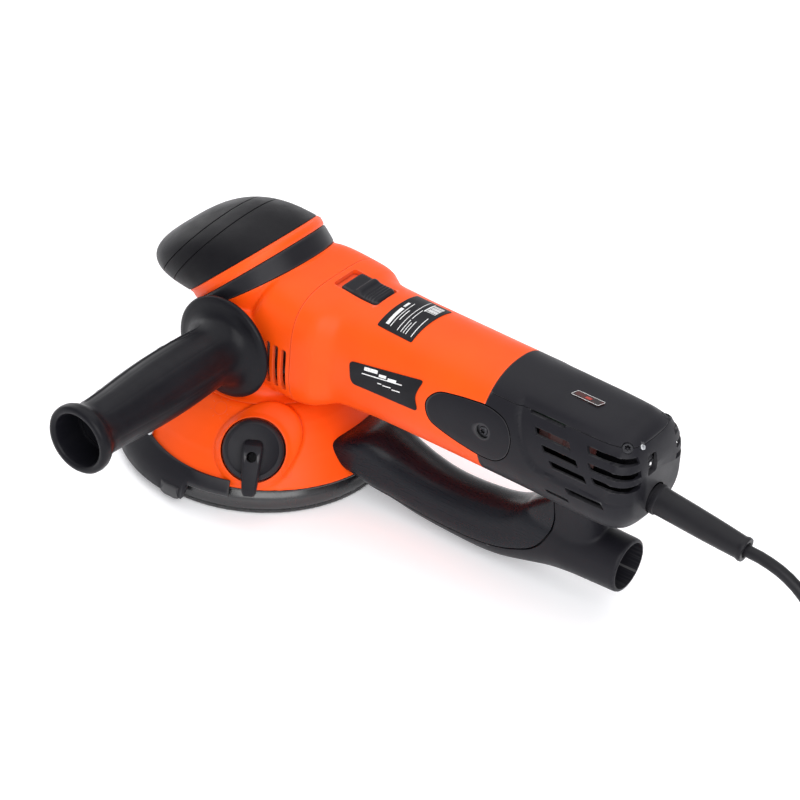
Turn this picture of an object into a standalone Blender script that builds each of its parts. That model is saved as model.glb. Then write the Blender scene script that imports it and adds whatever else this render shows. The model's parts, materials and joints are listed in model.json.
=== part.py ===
"""A geared dual-action polisher with a dust duct, modelled piece by piece.

Lengths in this script are millimetres and are scaled to metres as each mesh is made.
The origin is the centre of the pad's working face, +Z points up along the spindle,
+X runs back along the motor to the cable, and the side handle points along -Y.
"""

import math

import bmesh
import bpy
from mathutils import Matrix, Vector

MM = 0.001
GAP = 0.3

# Pad and orbit.
PAD_R = 75.0
PAD_TOP = 13.0
ECCENTRICITY = 3.0
SPINDLE_X = ECCENTRICITY

# Skirt: a cone round the spindle, from its rim up to its shoulder.
RIM_R, RIM_Z = 76.4, 18.0
SHOULDER_R, SHOULDER_Z = 50.0, 54.0
SKIRT_WALL = 2.6
SLOPE = math.atan2(SHOULDER_Z - RIM_Z, RIM_R - SHOULDER_R)
CONE_OUT = math.sin(SLOPE)
CONE_UP = math.cos(SLOPE)

# Motor: its axis, and where the housings meet.
MOTOR_Z = 94.3
HEAD_JOINT_X = 48.0
REAR_JOINT_X = 166.0
REAR_END_X = 256.0
HOUSING_WALL = 2.6
SCREW_X, SCREW_Z = 168.5, 98.6
LID_SCREW_X, LID_SCREW_Y = 244.5, 17.5

# Cap: a dome on a ring whose plane leans forward.
CAP_X, CAP_Z = -9.0, 116.4
CAP_TILT = math.radians(43.7)
CAP_ALONG, CAP_ACROSS = 37.5, 41.0
CAP_HEIGHT = 37.0
CAP_LEAN = 30.0
CAP_POWER = 2.9
STRIPE_H = 4.0
BAND_H = 15.5
CAP_WALL = 3.0

# Foot of the head's column, an oval on the skirt's shoulder.
FOOT_X, FOOT_ALONG, FOOT_ACROSS = 4.0, 38.5, 41.0

# Gears.
GEAR_TEETH, PINION_TEETH = 36, 12
TOOTH_MODULE = 1.25
GEAR_R = GEAR_TEETH * TOOTH_MODULE / 2
PINION_R = PINION_TEETH * TOOTH_MODULE / 2
FACE_WIDTH = 7.0
CROWN_CONE = math.atan2(GEAR_TEETH, PINION_TEETH)
PINION_PHASE = 0.5

# Guard: where it starts, and how far down the cone its upper edge lies at its ends and in front.
GUARD_FROM = 66.0
GUARD_TOP_BACK, GUARD_TOP_FRONT = 41.5, 31.0

# Side handle.
HANDLE_X, HANDLE_Z = 9.4, 88.0
HANDLE_END_Y = -168.0

# Mode knob, on the cone at this bearing from the spindle.
KNOB_BEARING = math.radians(-57.5)
KNOB_R = 17.0
KNOB_LIFT = 9.0
KNOB_ALONG = 23.5
# Sections along the knob's raised pointer: distance from the centre, half width, underside, top.
POINTER_SECTIONS = (
    (-14.0, 5.6, 0.0, 12.0),
    (-8.0, 5.4, 0.0, 14.5),
    (8.0, 4.8, 0.0, 14.5),
    (15.5, 4.2, 0.5, 14.0),
    (16.6, 4.1, 5.4, 13.8),
    (25.4, 2.9, 6.0, 12.0),
)

# Duct and cable.
OUTLET_Z, OUTLET_R, OUTLET_BORE = 32.0, 15.3, 13.3
OUTLET_END_X = 247.0
CORD_R = 3.3
CABLE_Z = 81.5
SLEEVE_END = Vector((312.0, 0.0, 75.5))
COIL_X, COIL_Y = 447.0, 6.0
COIL_MID_R, COIL_HALF_WIDTH = 38.0, 13.4
COIL_LOW, COIL_TOP = 1.8, 20.4
PLUG_LENGTH, PLUG_R = 44.0, 18.3

# Speed thumbwheel.
DIAL_X, DIAL_Z, DIAL_R = 244.8, 104.5, 9.6

# The boss on each side of the head, and the hole in it for the handle's stud.
BOSS_R, BOSS_END_Y = 20.5, 46.6
STUD_HOLE_R = 4.3


# Corners of the plates on the motor's flank, as (x, z), and of the label on its top, as (x, y).
NAMEPLATE = ((83.5, 91.5), (83.5, 105.0), (128.0, 110.5), (125.5, 101.0), (127.5, 93.0))
BRUSH_COVER = (
    (134.0, 86.0),
    (134.0, 111.5),
    (172.0, 110.5),
    (187.0, 101.0),
    (185.5, 84.5),
    (160.0, 80.5),
)
RATING_LABEL = ((90.0, -20.0), (90.0, 14.6), (113.0, 13.8), (113.0, -20.4))


# ---------------------------------------------------------------- helpers


def material(name, colour, roughness, metallic=0.0):
    made = bpy.data.materials.get(name)
    if made:
        return made
    made = bpy.data.materials.new(name)
    made.use_nodes = True
    shader = made.node_tree.nodes["Principled BSDF"]
    shader.inputs["Base Color"].default_value = (*colour, 1.0)
    shader.inputs["Roughness"].default_value = roughness
    shader.inputs["Metallic"].default_value = metallic
    made.diffuse_color = (*colour, 1.0)
    return made


def orange():
    return material("orange_plastic", (0.9, 0.11, 0.015), 0.42)


def charcoal():
    return material("charcoal_plastic", (0.03, 0.03, 0.034), 0.5)


def rubber():
    return material("black_rubber", (0.022, 0.022, 0.024), 0.6)


def gloss_black():
    return material("gloss_black", (0.012, 0.011, 0.011), 0.22)


def steel():
    return material("steel", (0.55, 0.56, 0.58), 0.3, 1.0)


def aluminium():
    return material("cast_aluminium", (0.62, 0.63, 0.65), 0.45, 1.0)


def copper():
    return material("copper", (0.75, 0.34, 0.16), 0.35, 1.0)


def brass():
    return material("brass", (0.78, 0.6, 0.28), 0.3, 1.0)


def place(name, mesh_mm, finish, origin=(0.0, 0.0, 0.0), smooth_angle=35.0):
    """Turns a bmesh in world millimetres into an object whose origin is the given point."""
    origin = Vector(origin)
    bmesh.ops.recalc_face_normals(mesh_mm, faces=mesh_mm.faces[:])
    for vertex in mesh_mm.verts:
        vertex.co = (vertex.co - origin) * MM
    data = bpy.data.meshes.new(name)
    mesh_mm.to_mesh(data)
    mesh_mm.free()
    data.shade_smooth()
    data.set_sharp_from_angle(angle=math.radians(smooth_angle))
    data.materials.append(finish)
    made = bpy.data.objects.new(name, data)
    made.location = origin * MM
    bpy.context.scene.collection.objects.link(made)
    return made


def as_tool(obj):
    """Marks an object as a shape that only cuts or joins others."""
    obj.hide_render = True
    obj.display_type = "WIRE"
    return obj


def combine(target, operation, *tools):
    for tool in tools:
        as_tool(tool)
        step = target.modifiers.new(f"{operation.lower()}_{tool.name}", "BOOLEAN")
        step.operation = operation
        step.solver = "EXACT"
        step.object = tool


def cut(target, *tools):
    combine(target, "DIFFERENCE", *tools)


def join(target, *tools):
    combine(target, "UNION", *tools)


def skin(rings, closed=False):
    """A bmesh skinned over rings of equal length; closed joins the last ring to the first."""
    mesh = bmesh.new()
    loops = [[mesh.verts.new(point) for point in ring] for ring in rings]
    pairs = list(zip(loops, loops[1:]))
    if closed:
        pairs.append((loops[-1], loops[0]))
    for lower, upper in pairs:
        count = len(lower)
        for i in range(count):
            j = (i + 1) % count
            mesh.faces.new((lower[i], lower[j], upper[j], upper[i]))
    if not closed:
        mesh.faces.new(loops[0])
        mesh.faces.new(loops[-1])
    return mesh


def turned(profile, steps, turn_to_world):
    """A solid turned about local Z. The profile is a closed outline of (radius, height) points,
    and a point at radius 0 becomes a pole."""
    mesh = bmesh.new()
    rings = []
    for radius, height in profile:
        if radius == 0:
            rings.append([mesh.verts.new(turn_to_world @ Vector((0, 0, height)))])
            continue
        rings.append([])
        for i in range(steps):
            angle = 2 * math.pi * i / steps
            point = Vector((radius * math.cos(angle), radius * math.sin(angle), height))
            rings[-1].append(mesh.verts.new(turn_to_world @ point))
    for first, second in zip(rings, rings[1:] + rings[:1]):
        if len(first) == 1 and len(second) == 1:
            continue
        for i in range(steps):
            j = (i + 1) % steps
            corners = [first[i % len(first)], first[j % len(first)]]
            corners += [second[j % len(second)], second[i % len(second)]]
            mesh.faces.new(list(dict.fromkeys(corners)))
    return mesh


def about(centre, axis="Z"):
    """The matrix that stands local Z along a world axis (or a vector) at a centre."""
    directions = {"X": (1, 0, 0), "Y": (0, 1, 0), "Z": (0, 0, 1)}
    along = Vector(directions.get(axis, axis) if isinstance(axis, str) else axis)
    spin = Vector((0, 0, 1)).rotation_difference(along)
    return Matrix.Translation(Vector(centre)) @ spin.to_matrix().to_4x4()


def rod(name, radius, start, end, steps=24, finish=None):
    """A plain round bar or cutter between two points."""
    start, end = Vector(start), Vector(end)
    length = (end - start).length
    profile = [(0, 0), (radius, 0), (radius, length), (0, length)]
    mesh = turned(profile, steps, about(start, end - start))
    return place(name, mesh, finish or charcoal())


def ring_of(name, inner, outer, low, high, centre, axis, steps, finish, origin=(0, 0, 0)):
    """A plain ring such as a bearing; low and high are along its axis from the centre."""
    profile = [(inner, low), (outer, low), (outer, high), (inner, high)]
    return place(name, turned(profile, steps, about(centre, axis)), finish, origin)


def box(name, low, high, finish=None, origin=(0, 0, 0)):
    low, high = Vector(low), Vector(high)
    rings = []
    for x in (low.x, high.x):
        corners = ((low.y, low.z), (high.y, low.z), (high.y, high.z), (low.y, high.z))
        rings.append([Vector((x, y, z)) for y, z in corners])
    return place(name, skin(rings), finish or charcoal(), origin)


def rounded(half_u, half_v, power, steps):
    """Points of a superellipse, from +u."""
    points = []
    for i in range(steps):
        angle = 2 * math.pi * i / steps
        c, s = math.cos(angle), math.sin(angle)
        u = half_u * math.copysign(abs(c) ** (2 / power), c)
        v = half_v * math.copysign(abs(s) ** (2 / power), s)
        points.append((u, v))
    return points


def section(x, half_width, top, bottom, power, steps, inset=0.0):
    """A housing section across the motor axis at this x."""
    half_height = (top - bottom) / 2 - inset
    middle = (top + bottom) / 2
    outline = rounded(half_width - inset, half_height, power, steps)
    return [Vector((x, u, middle + v)) for u, v in outline]


def prism(name, outline, axis, low, high, finish=None, origin=(0, 0, 0)):
    """An outline of (a, b) points extruded along a world axis."""
    place_of = {"X": (2, 0, 1), "Y": (0, 2, 1), "Z": (0, 1, 2)}[axis]
    rings = []
    for along in (low, high):
        triples = [(*point, along) for point in outline]
        rings.append([Vector([triple[i] for i in place_of]) for triple in triples])
    return place(name, skin(rings), finish or charcoal(), origin)


def smooth_route(points, spacing):
    """Points a fixed distance apart on a smooth curve through the route's points."""
    points = [Vector(p) for p in points]
    ends = [2 * points[0] - points[1], *points, 2 * points[-1] - points[-2]]
    fine = []
    for a, b, c, d in zip(ends, ends[1:], ends[2:], ends[3:]):
        for i in range(24):
            t = i / 24
            bend = (2 * a - 5 * b + 4 * c - d) * t**2
            twist = (3 * b - 3 * c + d - a) * t**3
            fine.append(0.5 * (2 * b + (c - a) * t + bend + twist))
    fine.append(points[-1])
    total = sum((b - a).length for a, b in zip(fine, fine[1:]))
    count = max(2, round(total / spacing))
    step = total / count
    route = [fine[0]]
    travelled = 0.0
    for a, b in zip(fine, fine[1:]):
        length = (b - a).length
        while len(route) < count and travelled + length >= step * len(route):
            route.append(a.lerp(b, (step * len(route) - travelled) / length))
        travelled += length
    route.append(fine[-1])
    return route


def tube(name, points, radius, sides_level, finish, cyclic=False):
    """A round tube along the points, as a curve with a bevel and filled caps."""
    data = bpy.data.curves.new(name, "CURVE")
    data.dimensions = "3D"
    data.bevel_depth = radius * MM
    data.bevel_resolution = sides_level
    data.use_fill_caps = True
    spline = data.splines.new("POLY")
    spline.points.add(len(points) - 1)
    for slot, point in zip(spline.points, points):
        slot.co = (*(Vector(point) * MM), 1.0)
    spline.use_cyclic_u = cyclic
    data.materials.append(finish)
    made = bpy.data.objects.new(name, data)
    bpy.context.scene.collection.objects.link(made)
    return made


# ---------------------------------------------------------------- pad and spindle


def pad_parts():
    """Hook face, foam, stiff plate and the threaded stud that is moulded into it."""
    here = about((0, 0, 0))
    hooks = [(0, 0), (PAD_R - 0.6, 0), (PAD_R, 0.6), (PAD_R, 1.7), (0, 1.7)]
    fabric = material("hook_and_loop", (0.05, 0.05, 0.05), 0.95)
    place("hook_face", turned(hooks, 40, here), fabric)
    foam = [(0, 2.0), (PAD_R - 0.4, 2.0), (PAD_R, 4.0), (PAD_R - 0.3, 8.5)]
    foam += [(PAD_R - 2.0, PAD_TOP), (0, PAD_TOP)]
    place("pad_foam", turned(foam, 40, here), rubber())
    plate = [(0, 13.3), (68, 13.3), (68, 15.8), (22, 16.3), (20, 18.0), (0, 18.0)]
    place("pad_plate", turned(plate, 40, here), charcoal())
    stud = [(0, 18.3), (9, 18.3), (9, 22.0), (4, 22.0), (4, 37.0), (3.2, 38.0), (0, 38.0)]
    place("pad_stud", turned(stud, 16, here), steel())
    hub = [(4.3, 22.3), (12, 22.3), (12, 26.5), (8, 26.5)]
    hub += [(8, 44.5), (0, 44.5), (0, 40.0), (4.3, 40.0)]
    place("pad_spindle", turned(hub, 24, here), steel())
    ring_of("pad_bearing", 8.3, 12.9, 30.0, 42.0, (0, 0, 0), "Z", 24, steel())


def eccentric_parts():
    """The driven spindle with the offset cup that carries the pad, and its crown gear."""
    axis = (SPINDLE_X, 0, 0)
    body = [(0, 28.0), (21, 28.0), (21, 49.5), (9, 51.0), (7, 53.0)]
    body += [(7, 90.0), (5, 90.5), (5, 107.0), (0, 107.0)]
    spindle = place("eccentric_spindle", turned(body, 32, about(axis)), steel(), axis)
    cup = turned([(0, 20.0), (13.2, 20.0), (13.2, 46.0), (0, 46.0)], 24, about((0, 0, 0)))
    cut(spindle, place("cup_bore", cup, steel()))
    weight = []
    for degrees in (-70, -50, -25, 0, 25, 50, 70):
        angle = math.radians(degrees)
        weight.append((SPINDLE_X + 33 * math.cos(angle), 33 * math.sin(angle)))
    weight += [(SPINDLE_X + 17, 10), (SPINDLE_X + 17, -10)]
    join(spindle, prism("balance_weight", weight, "Z", 31.0, 46.0))
    crown_hub = [(7.3, 6.4), (7.3, 20.0), (GEAR_R + 0.6, 13.0)]
    bevel_gear("bevel_gear", GEAR_TEETH, CROWN_CONE, (0, 0, -1), 0.0, crown_hub, axis)


def bevel_gear(name, teeth, cone, axis, phase, hub, origin):
    """A straight bevel gear. Its cone's apex is where the spindle and motor axes cross, axis points
    away from that apex, and hub lists (radius, distance from the apex) from the small end round the
    bore to the large end."""
    outer = GEAR_R / math.sin(CROWN_CONE)
    tip, root = 0.75 * TOOTH_MODULE, -1.15 * TOOTH_MODULE
    to_world = about((SPINDLE_X, 0, MOTOR_Z), axis)
    rings = []
    for distance in (outer, outer - FACE_WIDTH):
        share = distance / outer
        ring = []
        for tooth in range(teeth):
            for edge, height in ((-0.29, root), (0.29, root), (0.41, tip), (0.59, tip)):
                angle = 2 * math.pi * (tooth + edge + phase) / teeth
                radius = distance * math.sin(cone) + share * height * math.cos(cone)
                away = distance * math.cos(cone) - share * height * math.sin(cone)
                ring.append(Vector((radius * math.cos(angle), radius * math.sin(angle), away)))
        rings.append(ring)
    count = len(rings[0])
    for radius, away in hub:
        ring = []
        for i in range(count):
            angle = 2 * math.pi * (i / 4 + phase) / teeth
            ring.append(Vector((radius * math.cos(angle), radius * math.sin(angle), away)))
        rings.append(ring)
    world = [[to_world @ point for point in ring] for ring in rings]
    return place(name, skin(world, closed=True), steel(), origin)


def rotor_parts():
    """Motor shaft, pinion, fan, armature and commutator, all turning about the motor axis."""
    axis = (0, 0, MOTOR_Z)
    shaft = [(0, 16.5), (4, 16.5), (4, 31.0), (6, 31.0), (6, 44.0), (5.5, 44.0), (5.5, 222.0)]
    shaft += [(4, 222.5), (4, 234.0), (0, 234.0)]
    place("motor_shaft", turned(shaft, 16, about(axis, "X")), steel(), axis)
    pinion_hub = [(4.3, 15.9), (4.3, 27.0), (7.0, 27.0)]
    pinion_cone = math.pi / 2 - CROWN_CONE
    bevel_gear("bevel_pinion", PINION_TEETH, pinion_cone, (1, 0, 0), PINION_PHASE, pinion_hub, axis)
    blades = []
    for i in range(11):
        for turn, radius in ((0.0, 14.0), (0.28, 24.5), (0.42, 24.5), (0.5, 14.0)):
            angle = 2 * math.pi * (i + turn) / 11
            blades.append((radius * math.cos(angle), MOTOR_Z + radius * math.sin(angle)))
    fan = prism("cooling_fan", blades, "X", 54.0, 62.0, charcoal(), axis)
    plate = [(0, 61.0), (25, 61.0), (25, 63.0), (14, 63.5), (9, 67.0), (0, 67.0)]
    join(fan, place("fan_plate", turned(plate, 24, about(axis, "X")), charcoal()))
    cut(fan, rod("fan_bore", 5.8, (50, 0, MOTOR_Z), (75, 0, MOTOR_Z), 16))
    slots = []
    for i in range(12):
        for turn, radius in ((0.0, 17.0), (0.7, 17.0), (0.74, 12.5), (0.96, 12.5)):
            angle = 2 * math.pi * (i + turn) / 12
            slots.append((radius * math.cos(angle), radius * math.sin(angle)))
    bore = rounded(5.8, 5.8, 2, len(slots))
    rings = []
    for outline, x in ((slots, 92.0), (slots, 140.0), (bore, 140.0), (bore, 92.0)):
        rings.append([Vector((x, a, MOTOR_Z + b)) for a, b in outline])
    place("rotor_core", skin(rings, closed=True), steel(), axis)
    ring_of("commutator", 5.8, 10.6, 156.0, 172.0, axis, "X", 24, copper(), axis)


def bearings():
    motor = (0, 0, MOTOR_Z)
    spindle = (SPINDLE_X, 0, 0)
    ring_of("front_motor_bearing", 6.3, 13.0, 34.0, 42.0, motor, "X", 24, steel())
    ring_of("rear_motor_bearing", 4.3, 9.5, 224.0, 231.0, motor, "X", 20, steel())
    ring_of("spindle_bearing_lower", 7.3, 17.0, 57.0, 66.0, spindle, "Z", 24, steel())
    ring_of("spindle_bearing_upper", 5.3, 10.9, 97.0, 104.0, spindle, "Z", 20, steel())


def gear_case():
    """The cast case that holds the spindle bearings and the motor's front bearing."""
    shell = [(0, 111.0), (14, 111.0), (16, 105.0), (28, 98.0), (28, 70.0), (20.5, 66.5), (20.5, 55.3)]
    shell += [(17.3, 55.3), (17.3, 66.3), (13, 66.3), (13, 68.5), (25.2, 71.5), (25.2, 95.0)]
    shell += [(11.2, 96.0), (11.2, 107.6), (0, 107.6)]
    case = place("gear_case", turned(shell, 20, about((SPINDLE_X, 0, 0))), aluminium())
    join(case, rod("case_nose", 17.0, (28.6, 0, MOTOR_Z), (44, 0, MOTOR_Z), 24))
    cut(case, rod("case_bearing_bore", 13.3, (33.6, 0, MOTOR_Z), (50, 0, MOTOR_Z), 24))
    cut(case, rod("case_pinion_bore", 9.6, (14, 0, MOTOR_Z), (40, 0, MOTOR_Z), 24))


# ---------------------------------------------------------------- motor field and electrics


def stator_parts():
    steps = 36
    outer, inner = [], []
    for i in range(steps):
        angle = 2 * math.pi * i / steps
        from_pole = abs(math.degrees(math.asin(math.cos(angle))))
        radius = 25.2 if from_pole > 42 else 17.7
        outer.append((28.5 * math.cos(angle), 28.5 * math.sin(angle)))
        inner.append((radius * math.cos(angle), radius * math.sin(angle)))
    rings = []
    for outline, x in ((outer, 92.0), (outer, 140.0), (inner, 140.0), (inner, 92.0)):
        rings.append([Vector((x, a, MOTOR_Z + b)) for a, b in outline])
    place("stator_core", skin(rings, closed=True), steel())
    for name, side in (("field_coil_upper", 1), ("field_coil_lower", -1)):
        loop = []
        lift = math.radians(9)
        for x, order in ((87.5, 1), (144.5, -1)):
            for i in range(9):
                angle = lift + (math.pi - 2 * lift) * i / 8
                angle = angle if order == 1 else math.pi - angle
                loop.append((x, 21.4 * math.cos(angle), MOTOR_Z + side * 21.4 * math.sin(angle)))
        tube(name, loop, 2.9, 2, copper(), cyclic=True)


def brush_parts():
    for side, word in ((-1, "left"), (1, "right")):
        outer = ((159.5, 88.3), (168.5, 88.3), (168.5, 100.3), (159.5, 100.3))
        inner = ((160.8, 89.6), (167.2, 89.6), (167.2, 99.0), (160.8, 99.0))
        rings = []
        for outline, y in ((outer, 13.5), (outer, 27.5), (inner, 27.5), (inner, 13.5)):
            rings.append([Vector((x, side * y, z)) for x, z in outline])
        place(f"brush_holder_{word}", skin(rings, closed=True), brass())
        ends = sorted((side * 11.0, side * 22.0))
        carbon = material("carbon", (0.02, 0.02, 0.02), 0.7)
        box(f"carbon_brush_{word}", (161.1, ends[0], 89.9), (166.9, ends[1], 98.7), carbon)


def electrics():
    board = material("circuit_board", (0.02, 0.12, 0.06), 0.5)
    box("control_board", (188, -17, 112.0), (232, 17, 113.8), board)
    box("switch_body", (71, -9, 106.0), (83.5, 9, 120.5), charcoal())


# ---------------------------------------------------------------- housings


HEAD_SECTIONS = (
    (2.0, 36.0, 97.0, 57.0, 2.4),
    (14.0, 39.5, 110.0, 56.0, 2.5),
    (24.0, 40.5, 122.5, 55.6, 2.6),
    (31.0, 40.5, 131.2, 55.5, 2.7),
    (38.0, 40.5, 132.3, 55.5, 2.7),
)
JOINT_SECTION = (HEAD_JOINT_X, 40.5, 132.3, 55.5, 2.7)
MOTOR_SECTIONS = (
    (58.0, 40.2, 132.0, 57.0, 2.7),
    (64.5, 39.6, 131.4, 58.8, 2.6),
    (69.0, 38.2, 130.2, 60.0, 2.5),
    (74.0, 36.0, 129.0, 60.6, 2.4),
    (81.0, 34.4, 128.2, 60.8, 2.3),
    (95.0, 33.6, 127.9, 60.9, 2.25),
    (130.0, 33.4, 127.6, 61.1, 2.2),
)
REAR_JOINT_SECTION = (REAR_JOINT_X, 33.0, 127.2, 61.4, 2.25)
REAR_SECTIONS = (
    (200.0, 32.7, 126.8, 61.8, 2.35),
    (236.0, 32.3, 126.0, 62.4, 2.5),
    (245.0, 31.6, 124.8, 63.2, 2.5),
    (250.5, 29.6, 121.8, 65.8, 2.5),
    (254.3, 26.0, 117.5, 70.0, 2.6),
    (REAR_END_X, 22.0, 113.0, 74.0, 2.8),
)


def housing_tube(name, sections, finish, steps=28):
    """An open-ended housing with an even wall, from a list of sections along the motor."""
    outer = [section(*values, steps) for values in sections]
    inner = [section(*values, steps, inset=HOUSING_WALL) for values in sections]
    return place(name, skin(outer + inner[::-1], closed=True), finish)


def at_x(values, x):
    return (x, *values[1:])


def ring_point(angle, along, across, height, shift=0.0):
    """A point of the cap's oval, in the plane at this height over the ring."""
    forward = along * math.cos(angle) + shift
    tilt_c, tilt_s = math.cos(CAP_TILT), math.sin(CAP_TILT)
    x = CAP_X + forward * tilt_c - height * tilt_s
    z = CAP_Z + forward * tilt_s + height * tilt_c
    return Vector((x, across * math.sin(angle), z))


def cap_ring(along, across, height, shift=0.0, steps=32):
    return [ring_point(2 * math.pi * i / steps, along, across, height, shift) for i in range(steps)]


def band_drop(angle):
    """How far the band reaches below the ring: deep at the back, shallow at the front."""
    return STRIPE_H + GAP + (BAND_H - STRIPE_H) * (0.62 + 0.38 * math.cos(angle))


def head_column(name, inset, low, drop_extra, steps=32):
    """The head's upright part, from a level oval at its foot to the tilted lower edge of the band."""
    foot, edge = [], []
    for i in range(steps):
        angle = 2 * math.pi * i / steps
        x = FOOT_X + (FOOT_ALONG - inset) * math.cos(angle)
        foot.append(Vector((x, (FOOT_ACROSS - inset) * math.sin(angle), low)))
        drop = band_drop(angle) + drop_extra
        edge.append(ring_point(angle, CAP_ALONG - 0.4 - inset, CAP_ACROSS - 0.2 - inset, -drop))
    rings = [foot]
    for share in (0.3, 0.6, 0.85):
        ease = share * share * (3 - 2 * share)
        ring = []
        for a, b in zip(foot, edge):
            ring.append(a.lerp(b, ease) + Vector((0, 0, (b.z - a.z) * (share - ease))))
        rings.append(ring)
    rings.append(edge)
    return place(name, skin(rings), orange())


def gear_housing():
    """The orange head shell: an upright column, a neck to the motor and a boss on each side."""
    bottom = SHOULDER_Z + GAP
    shell = head_column("gear_housing", 0.0, bottom, GAP)
    sections = (*HEAD_SECTIONS, at_x(JOINT_SECTION, HEAD_JOINT_X - GAP))
    neck = [section(*values, 28) for values in sections]
    join(shell, place("neck_outside", skin(neck), orange()))
    for side in (-1, 1):
        join(shell, boss(f"handle_boss_{side + 1}", side))
    hollow = head_column("column_inside", HOUSING_WALL, bottom - 5, -4.0)
    sections = (*HEAD_SECTIONS, at_x(JOINT_SECTION, HEAD_JOINT_X + 5))
    inner = [section(*values, 28, inset=HOUSING_WALL) for values in sections]
    cut(shell, place("neck_inside", skin(inner), orange()))
    cut(shell, hollow)
    for side in (-1, 1):
        ends = (HANDLE_X, side * 30, HANDLE_Z), (HANDLE_X, side * 50, HANDLE_Z)
        cut(shell, rod(f"stud_bore_{side + 1}", STUD_HOLE_R, *ends, 16))
        for i, x in enumerate((32.4, 38.0, 43.6)):
            cut(shell, slot(f"head_vent_{side + 1}_{i}", x, side))


def boss(name, side):
    profile = [(0, 20.0), (BOSS_R, 20.0), (BOSS_R, 44.6), (BOSS_R - 2, BOSS_END_Y), (0, BOSS_END_Y)]
    return place(name, turned(profile, 28, about((HANDLE_X, 0, HANDLE_Z), (0, side, 0))), orange())


def slot(name, x, side):
    """An upright vent slot with round ends through the side of the head."""
    outline = []
    for centre, start in ((98.0, 0.0), (72.0, math.pi)):
        for i in range(5):
            angle = start + math.pi * i / 4
            outline.append((x + 1.6 * math.cos(angle), centre + 1.6 * math.sin(angle)))
    ends = sorted((side * 34.0, side * 48.0))
    return prism(name, outline, "Y", ends[0], ends[1])


def motor_housing():
    """The orange shell round the motor, with the switch opening and its brush windows."""
    sections = (JOINT_SECTION, *MOTOR_SECTIONS, at_x(REAR_JOINT_SECTION, REAR_JOINT_X - GAP))
    shell = housing_tube("motor_housing", sections, orange())
    cut(shell, box("switch_opening", (52.5, -10.6, 122.0), (86.0, 10.6, 140.0)))


def rear_vents(side):
    """Slanted slots: five short ones behind the brush cover and three that wrap the rear corner."""
    short = ((201.0, 117.6), (208.0, 110.2), (214.4, 103.4), (220.8, 96.6), (232.8, 86.0))
    tools = []
    for i, (x, z) in enumerate(short):
        tools.append(slanted_slot(f"short_vent_{side + 1}_{i}", x, z, 10.6, side))
    for i, (x, z) in enumerate(((244.5, 112.6), (247.5, 105.4), (250.5, 98.2))):
        tools.append(slanted_slot(f"long_vent_{side + 1}_{i}", x, z, 17.0, side))
    return tools


def slanted_slot(name, x, z, half_length, side):
    slant = math.radians(-2.0)
    outline = []
    for end in (1, -1):
        for lift in (-1, 1):
            along, up = end * half_length, end * lift * 1.7
            across = x + along * math.cos(slant) - up * math.sin(slant)
            outline.append((across, z + along * math.sin(slant) + up))
    ends = sorted((side * 20.0, side * 45.0))
    return prism(name, outline, "Y", ends[0], ends[1])


def rear_housing():
    """The charcoal shell round the commutator, closed at the back, with its top left out."""
    steps = 32
    sections = (at_x(REAR_JOINT_SECTION, REAR_JOINT_X), *REAR_SECTIONS)
    outer = [section(*values, steps) for values in sections]
    inner = [section(*values, steps, inset=HOUSING_WALL) for values in sections[:-1]]
    end = sections[-1]
    inner.append(section(end[0] - HOUSING_WALL, *end[1:], steps, inset=HOUSING_WALL + 1.0))
    mesh = bmesh.new()
    loops = [[mesh.verts.new(p) for p in ring] for ring in (outer[::-1] + inner)]
    for a, b in zip(loops, loops[1:]):
        for i in range(steps):
            j = (i + 1) % steps
            mesh.faces.new((a[i], a[j], b[j], b[i]))
    mesh.faces.new(loops[0])
    mesh.faces.new(loops[-1])
    shell = place("rear_housing", mesh, charcoal())
    cut(shell, box("top_cover_space", (182.0, -24.5, 117.6), (250.0, 24.5, 140.0)))
    for side in (-1, 1):
        cut(shell, *rear_vents(side))
        hole = (SCREW_X, side * 24, SCREW_Z), (SCREW_X, side * 40, SCREW_Z)
        cut(shell, rod(f"brush_screw_hole_{side + 1}", 1.9, *hole, 12))
    cut(shell, rod("cable_hole", 8.2, (240.0, 0, CABLE_Z), (270.0, 0, CABLE_Z), 20))
    cut(shell, box("dial_window", (246.0, -11.3, 100.0), (262.0, -2.7, 117.0)))


def rear_top_cover():
    """The lid over the control board: the top of the rear shell, inside its opening."""
    steps = 32
    sections = (at_x(REAR_JOINT_SECTION, REAR_JOINT_X), *REAR_SECTIONS)
    outer = [section(*values, steps) for values in sections]
    inner = [section(*values, steps, inset=HOUSING_WALL) for values in sections]
    cover = place("rear_top_cover", skin(outer + inner[::-1], closed=True), charcoal())
    keep = box("cover_blank", (182.3, -24.2, 117.9), (249.7, 24.2, 140.0))
    combine(cover, "INTERSECT", keep)
    for side in (-1, 1):
        ends = (LID_SCREW_X, side * LID_SCREW_Y, 110), (LID_SCREW_X, side * LID_SCREW_Y, 130)
        cut(cover, rod(f"lid_screw_hole_{side + 1}", 3.1, *ends, 16))
    cut(cover, box("led_window", (203.0, -8.6, 120.0), (222.0, -2.4, 135.0)))


def led_lens():
    smoked = material("smoked_lens", (0.12, 0.05, 0.04), 0.1)
    box("led_lens", (203.3, -8.3, 124.2), (221.7, -2.7, 126.2), smoked)


def speed_dial():
    """A thumbwheel on a cross axis that shows through the slot in the rear wall."""
    axis = (DIAL_X, 0, DIAL_Z)
    ridges = []
    for i in range(20):
        for turn, radius in ((0.0, DIAL_R), (0.55, DIAL_R), (0.65, DIAL_R - 0.7), (0.9, DIAL_R - 0.7)):
            angle = 2 * math.pi * (i + turn) / 20
            ridges.append((DIAL_X + radius * math.cos(angle), DIAL_Z + radius * math.sin(angle)))
    prism("speed_dial", ridges, "Y", -10.4, -3.6, charcoal(), axis)


# ---------------------------------------------------------------- cap


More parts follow.
